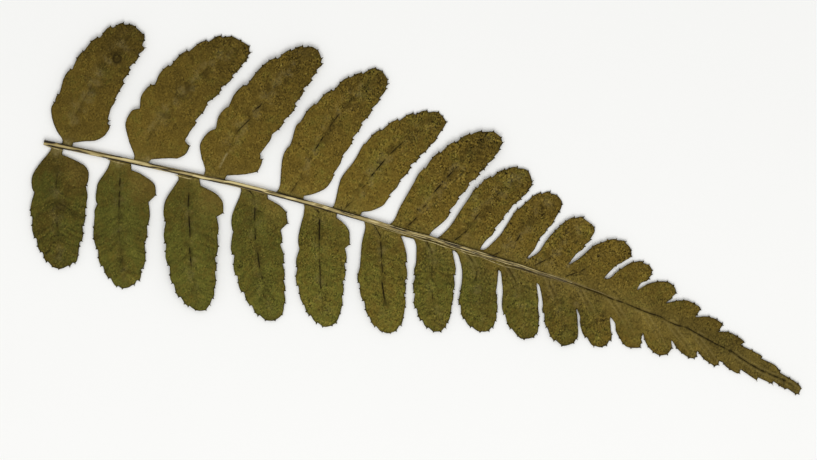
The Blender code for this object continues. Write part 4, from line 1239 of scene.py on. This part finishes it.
def on_line(places, off, half_width, line):
    """How much each place on the stalk lies on a line along it, given by (x, offset)."""
    stations, offsets = zip(*line)
    fade = smooth_step(stations[0], stations[0] + 1, places[:, 0])
    fade *= 1 - smooth_step(stations[-1] - 1, stations[-1], places[:, 0])
    wander = np.interp(places[:, 0], stations, offsets) + 0.03 * ripple(places, 2.0, stations[0])
    return fade * (1 - smooth_step(0.6, 1.4, np.abs(off - wander) / half_width))


def make_stalk(settings):
    """The stalk: its grooved section swept along its line, thinner towards the tip."""
    draw = random.Random(SEED)
    line = []
    for place in curve_through(STALK_LINE, 0.5):
        scale = float(stalk_scale(place.x)) * draw.uniform(0.97, 1.03)
        line.append((place.x, place.y, STALK_MIDDLE * scale, scale))
    section = section_curve("stalk_section", closed_curve(STALK_SECTION, 3))
    stalk = sweep("stalk", [line], section, dried_stalk(settings))
    for vertex in stalk.data.vertices:
        vertex.co.z = max(vertex.co.z, 0.0)
    places = np.array([(v.co.x / MM + MIDDLE[0], v.co.y / MM + MIDDLE[1]) for v in stalk.data.vertices])
    _, off = nearest_on(curve_through(STALK_LINE, 1.0), places)
    off /= stalk_scale(places[:, 0])
    tone = np.interp(places[:, 0], *zip(*STALK_TONE))
    # painted shade: the stalk is darker towards its edges, on its steep flanks
    tone *= 1 - 0.3 * smooth_step(0.35, 0.5, np.abs(off))
    # painted highlights: the tone is raised to pale straw along the ridges
    for pale, half_width, ridge in RIDGE_HIGHLIGHTS:
        tone = np.maximum(tone, pale * on_line(places, off, half_width, ridge))
    # painted shade: the stalk is darkened along its grooves and shaded edges
    for half_width, crease in SHADED_CREASES:
        tone *= 1 - on_line(places, off, half_width, crease)
    set_fields(stalk.data, {"tone": tone})
    return stalk


def surface_of(*pieces):
    """The faces of the pieces, to lay lines on."""
    corners, faces = [], []
    for piece in pieces:
        first = len(corners)
        corners += [v.co.copy() for v in piece.data.vertices]
        faces += [[first + i for i in p.vertices] for p in piece.data.polygons]
    return BVHTree.FromPolygons(corners, faces)


def level_at(surface, x, y, from_below=False):
    """Height of the surface at a place, seen from above or below, or None where there is none."""
    start = Vector(to_frame(x, y, -HIGH if from_below else HIGH))
    hit = surface.ray_cast(start, Vector((0, 0, 1 if from_below else -1)))[0]
    return hit.z / MM if hit else None


def round_section(name, sides):
    turns = [2 * math.pi * i / sides for i in range(sides)]
    return section_curve(name, [(math.cos(turn), math.sin(turn)) for turn in turns])


def branch_plan(leaflet, side, stalk, draw):
    """Plan of a bundle that runs beside the stalk and bends off into a leaflet."""
    foot = Vector(leaflet.rib[0][:2])
    run, inner, outer = (draw.uniform(*span) for span in (BRANCH_RUN, BRANCH_STARTS, BRANCH_ENDS))
    plan = []
    for i in range(BRANCH_POINTS):
        share = i / (BRANCH_POINTS - 1)
        x = foot.x - run * (1 - share)
        off = side * (inner + (outer - inner) * share ** BRANCH_BEND)
        plan.append((x, height_on(stalk, x) + off * float(stalk_scale(x))))
    if side < 0:
        rib = curve_through(leaflet.rib, 0.8)[2:round(draw.uniform(*BRANCH_INTO))]
        plan += [(place.x - BESIDE_RIB, place.y) for place in rib]
    return plan


def fibre_lines(surface):
    """Bundles along the stalk's upper side, with those that leave it for the leaflets."""
    draw = random.Random(SEED)
    stalk = curve_through(STALK_LINE, 1.0)
    plans = list(FIBRES)
    for side, leaflets in ((1, UPPER), (-1, LOWER)):
        for leaflet in leaflets:
            if BRANCHING[0] < leaflet.rib[0][0] < BRANCHING[1]:
                plan = branch_plan(leaflet, side, stalk, draw)
                plans.append((plan, draw.uniform(*BRANCH_RADIUS)))
    lines = []
    for plan, radius in plans:
        places = curve_through(plan, 0.5)
        line = []
        for i, place in enumerate(places):
            share = i / (len(places) - 1)
            thin = min(1.0, 6 * share, 3 * (1 - share)) * radius
            level = level_at(surface, place.x, place.y)
            if level is None:
                level = 0.5
            line.append((place.x, place.y, level + FIBRE_LIFT * thin, max(thin, LEAST_RADIUS)))
        lines.append(line)
    return lines


def make_fibres(settings, blade, stalk):
    """The bundles of fibre, laid on the stalk and the blade."""
    lines = fibre_lines(surface_of(blade, stalk))
    return sweep("fibres", lines, round_section("fibre_section", 8), dried_fibre(settings))


def make_midribs(blade):
    """The ribs under the leaflets: one along each midrib, thinner towards its apex."""
    surface = surface_of(blade)
    step = 0.6
    lines = []
    for leaflet in UPPER + LOWER:
        places = curve_through(leaflet.rib, step)
        places = places[:round(len(places) * RIB_ENDS)]
        size = min(1.0, len(places) * step / FULL_RIB)
        line = []
        for i, place in enumerate(places):
            share = i / (len(places) - 1)
            radius = (RIB_RADII[0] * (1 - share) + RIB_RADII[1]) * (0.5 + 0.5 * size)
            level = level_at(surface, place.x, place.y, from_below=True)
            if level is not None:
                line.append((place.x, place.y, level + RIB_RISE - RIB_SHOWS * radius, radius))
        lines.append(line)
    midribs = sweep("midribs", lines, round_section("midrib_section", 10), rib_fibre())
    for vertex in midribs.data.vertices:
        vertex.co.z = max(vertex.co.z, CLEARANCE / 2 * MM)
    return midribs


def add_light(name, place, size, power):
    """A square light at the place, which shines on the frond."""
    lamp = bpy.data.lights.new(name, "AREA")
    lamp.shape = "SQUARE"
    lamp.size = size
    lamp.energy = power
    light = bpy.data.objects.new(name, lamp)
    light.location = place
    light.rotation_euler = (-Vector(place)).to_track_quat("-Z", "Y").to_euler()
    bpy.context.scene.collection.objects.link(light)


def add_camera():
    """A camera straight above, framed as the photograph is."""
    data = bpy.data.cameras.new("camera")
    data.lens = LENS
    data.sensor_width = SENSOR
    data.clip_end = 20.0
    camera = bpy.data.objects.new("camera", data)
    distance = PHOTO_SIZE[0] * PIXEL * LENS / SENSOR
    camera.location = to_frame(*VIEW_MIDDLE, distance)
    camera.rotation_euler = (0, 0, VIEW_TURN)
    bpy.context.scene.collection.objects.link(camera)
    bpy.context.scene.camera = camera


class FROND_OT_blade(bpy.types.Operator):
    """Adds the blade with all its leaflets"""
    bl_idname = "frond.blade"
    bl_label = "Blade"

    def execute(self, context):
        blade = make_blade(context.scene.frond)
        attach(blade, BODY)
        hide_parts(NODE)
        return {"FINISHED"}


class FROND_OT_stalk(bpy.types.Operator):
    """Adds the grooved stalk"""
    bl_idname = "frond.stalk"
    bl_label = "Stalk"

    def execute(self, context):
        stalk = make_stalk(context.scene.frond)
        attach(stalk, BODY)
        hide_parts(NODE)
        return {"FINISHED"}


class FROND_OT_fibres(bpy.types.Operator):
    """Adds the bundles of fibre on the stalk. Needs the blade and the stalk"""
    bl_idname = "frond.fibres"
    bl_label = "Fibres"

    def execute(self, context):
        fibres = make_fibres(context.scene.frond, bpy.data.objects["blade"], bpy.data.objects["stalk"])
        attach(fibres, BODY)
        return {"FINISHED"}


class FROND_OT_midribs(bpy.types.Operator):
    """Adds the ribs under the leaflets. Needs the blade"""
    bl_idname = "frond.midribs"
    bl_label = "Midribs"

    def execute(self, context):
        midribs = make_midribs(bpy.data.objects["blade"])
        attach(midribs, BODY)
        return {"FINISHED"}


class FROND_OT_stage(bpy.types.Operator):
    """Adds the floor, the lights and the camera"""
    bl_idname = "frond.stage"
    bl_label = "Stage"

    def execute(self, context):
        bpy.ops.mesh.primitive_plane_add(size=FLOOR_SIDE, location=(0, 0, 0))
        floor = context.object
        floor.name = "floor"
        for vertex in floor.data.vertices:
            vertex.co.z = -FLOOR_UNDER
        floor.data.materials.append(matt_board())
        level = math.cos(KEY_HEIGHT)
        towards_key = (math.sin(VIEW_TURN) * level, -math.cos(VIEW_TURN) * level, math.sin(KEY_HEIGHT))
        add_light("key", [KEY_DISTANCE * part for part in towards_key], KEY_SIDE,
                  context.scene.frond.key_power)
        add_light("overhead", *OVERHEAD)
        world = bpy.data.worlds.new("soft_room")
        world.use_nodes = True
        feed(world.node_tree, world.node_tree.nodes["Background"],
             {"Strength": ROOM, "Color": colour("ffffff")})
        context.scene.world = world
        context.scene.view_settings.view_transform = "Standard"
        add_camera()
        return {"FINISHED"}


class FROND_PT_panel(bpy.types.Panel):
    """The frond's pieces and settings"""
    bl_label = "Pressed fern frond"
    bl_idname = "FROND_PT_panel"
    bl_space_type = "VIEW_3D"
    bl_region_type = "UI"
    bl_category = "Fern"

    def draw(self, context):
        for name in FrondSettings.__annotations__:
            self.layout.prop(context.scene.frond, name)
        for operator in OPERATORS:
            self.layout.operator(operator.bl_idname)


OPERATORS = (FROND_OT_blade, FROND_OT_stalk, FROND_OT_fibres, FROND_OT_midribs, FROND_OT_stage)
CLASSES = (FrondSettings, *OPERATORS, FROND_PT_panel)


def register():
    for item in CLASSES:
        bpy.utils.register_class(item)
    bpy.types.Scene.frond = bpy.props.PointerProperty(type=FrondSettings)


def unregister():
    del bpy.types.Scene.frond
    for item in reversed(CLASSES):
        bpy.utils.unregister_class(item)


def main():
    register()
    bpy.ops.frond.blade()
    bpy.ops.frond.stalk()
    bpy.ops.frond.fibres()
    bpy.ops.frond.midribs()
    bpy.ops.frond.stage()


if __name__ == "__main__":
    main()
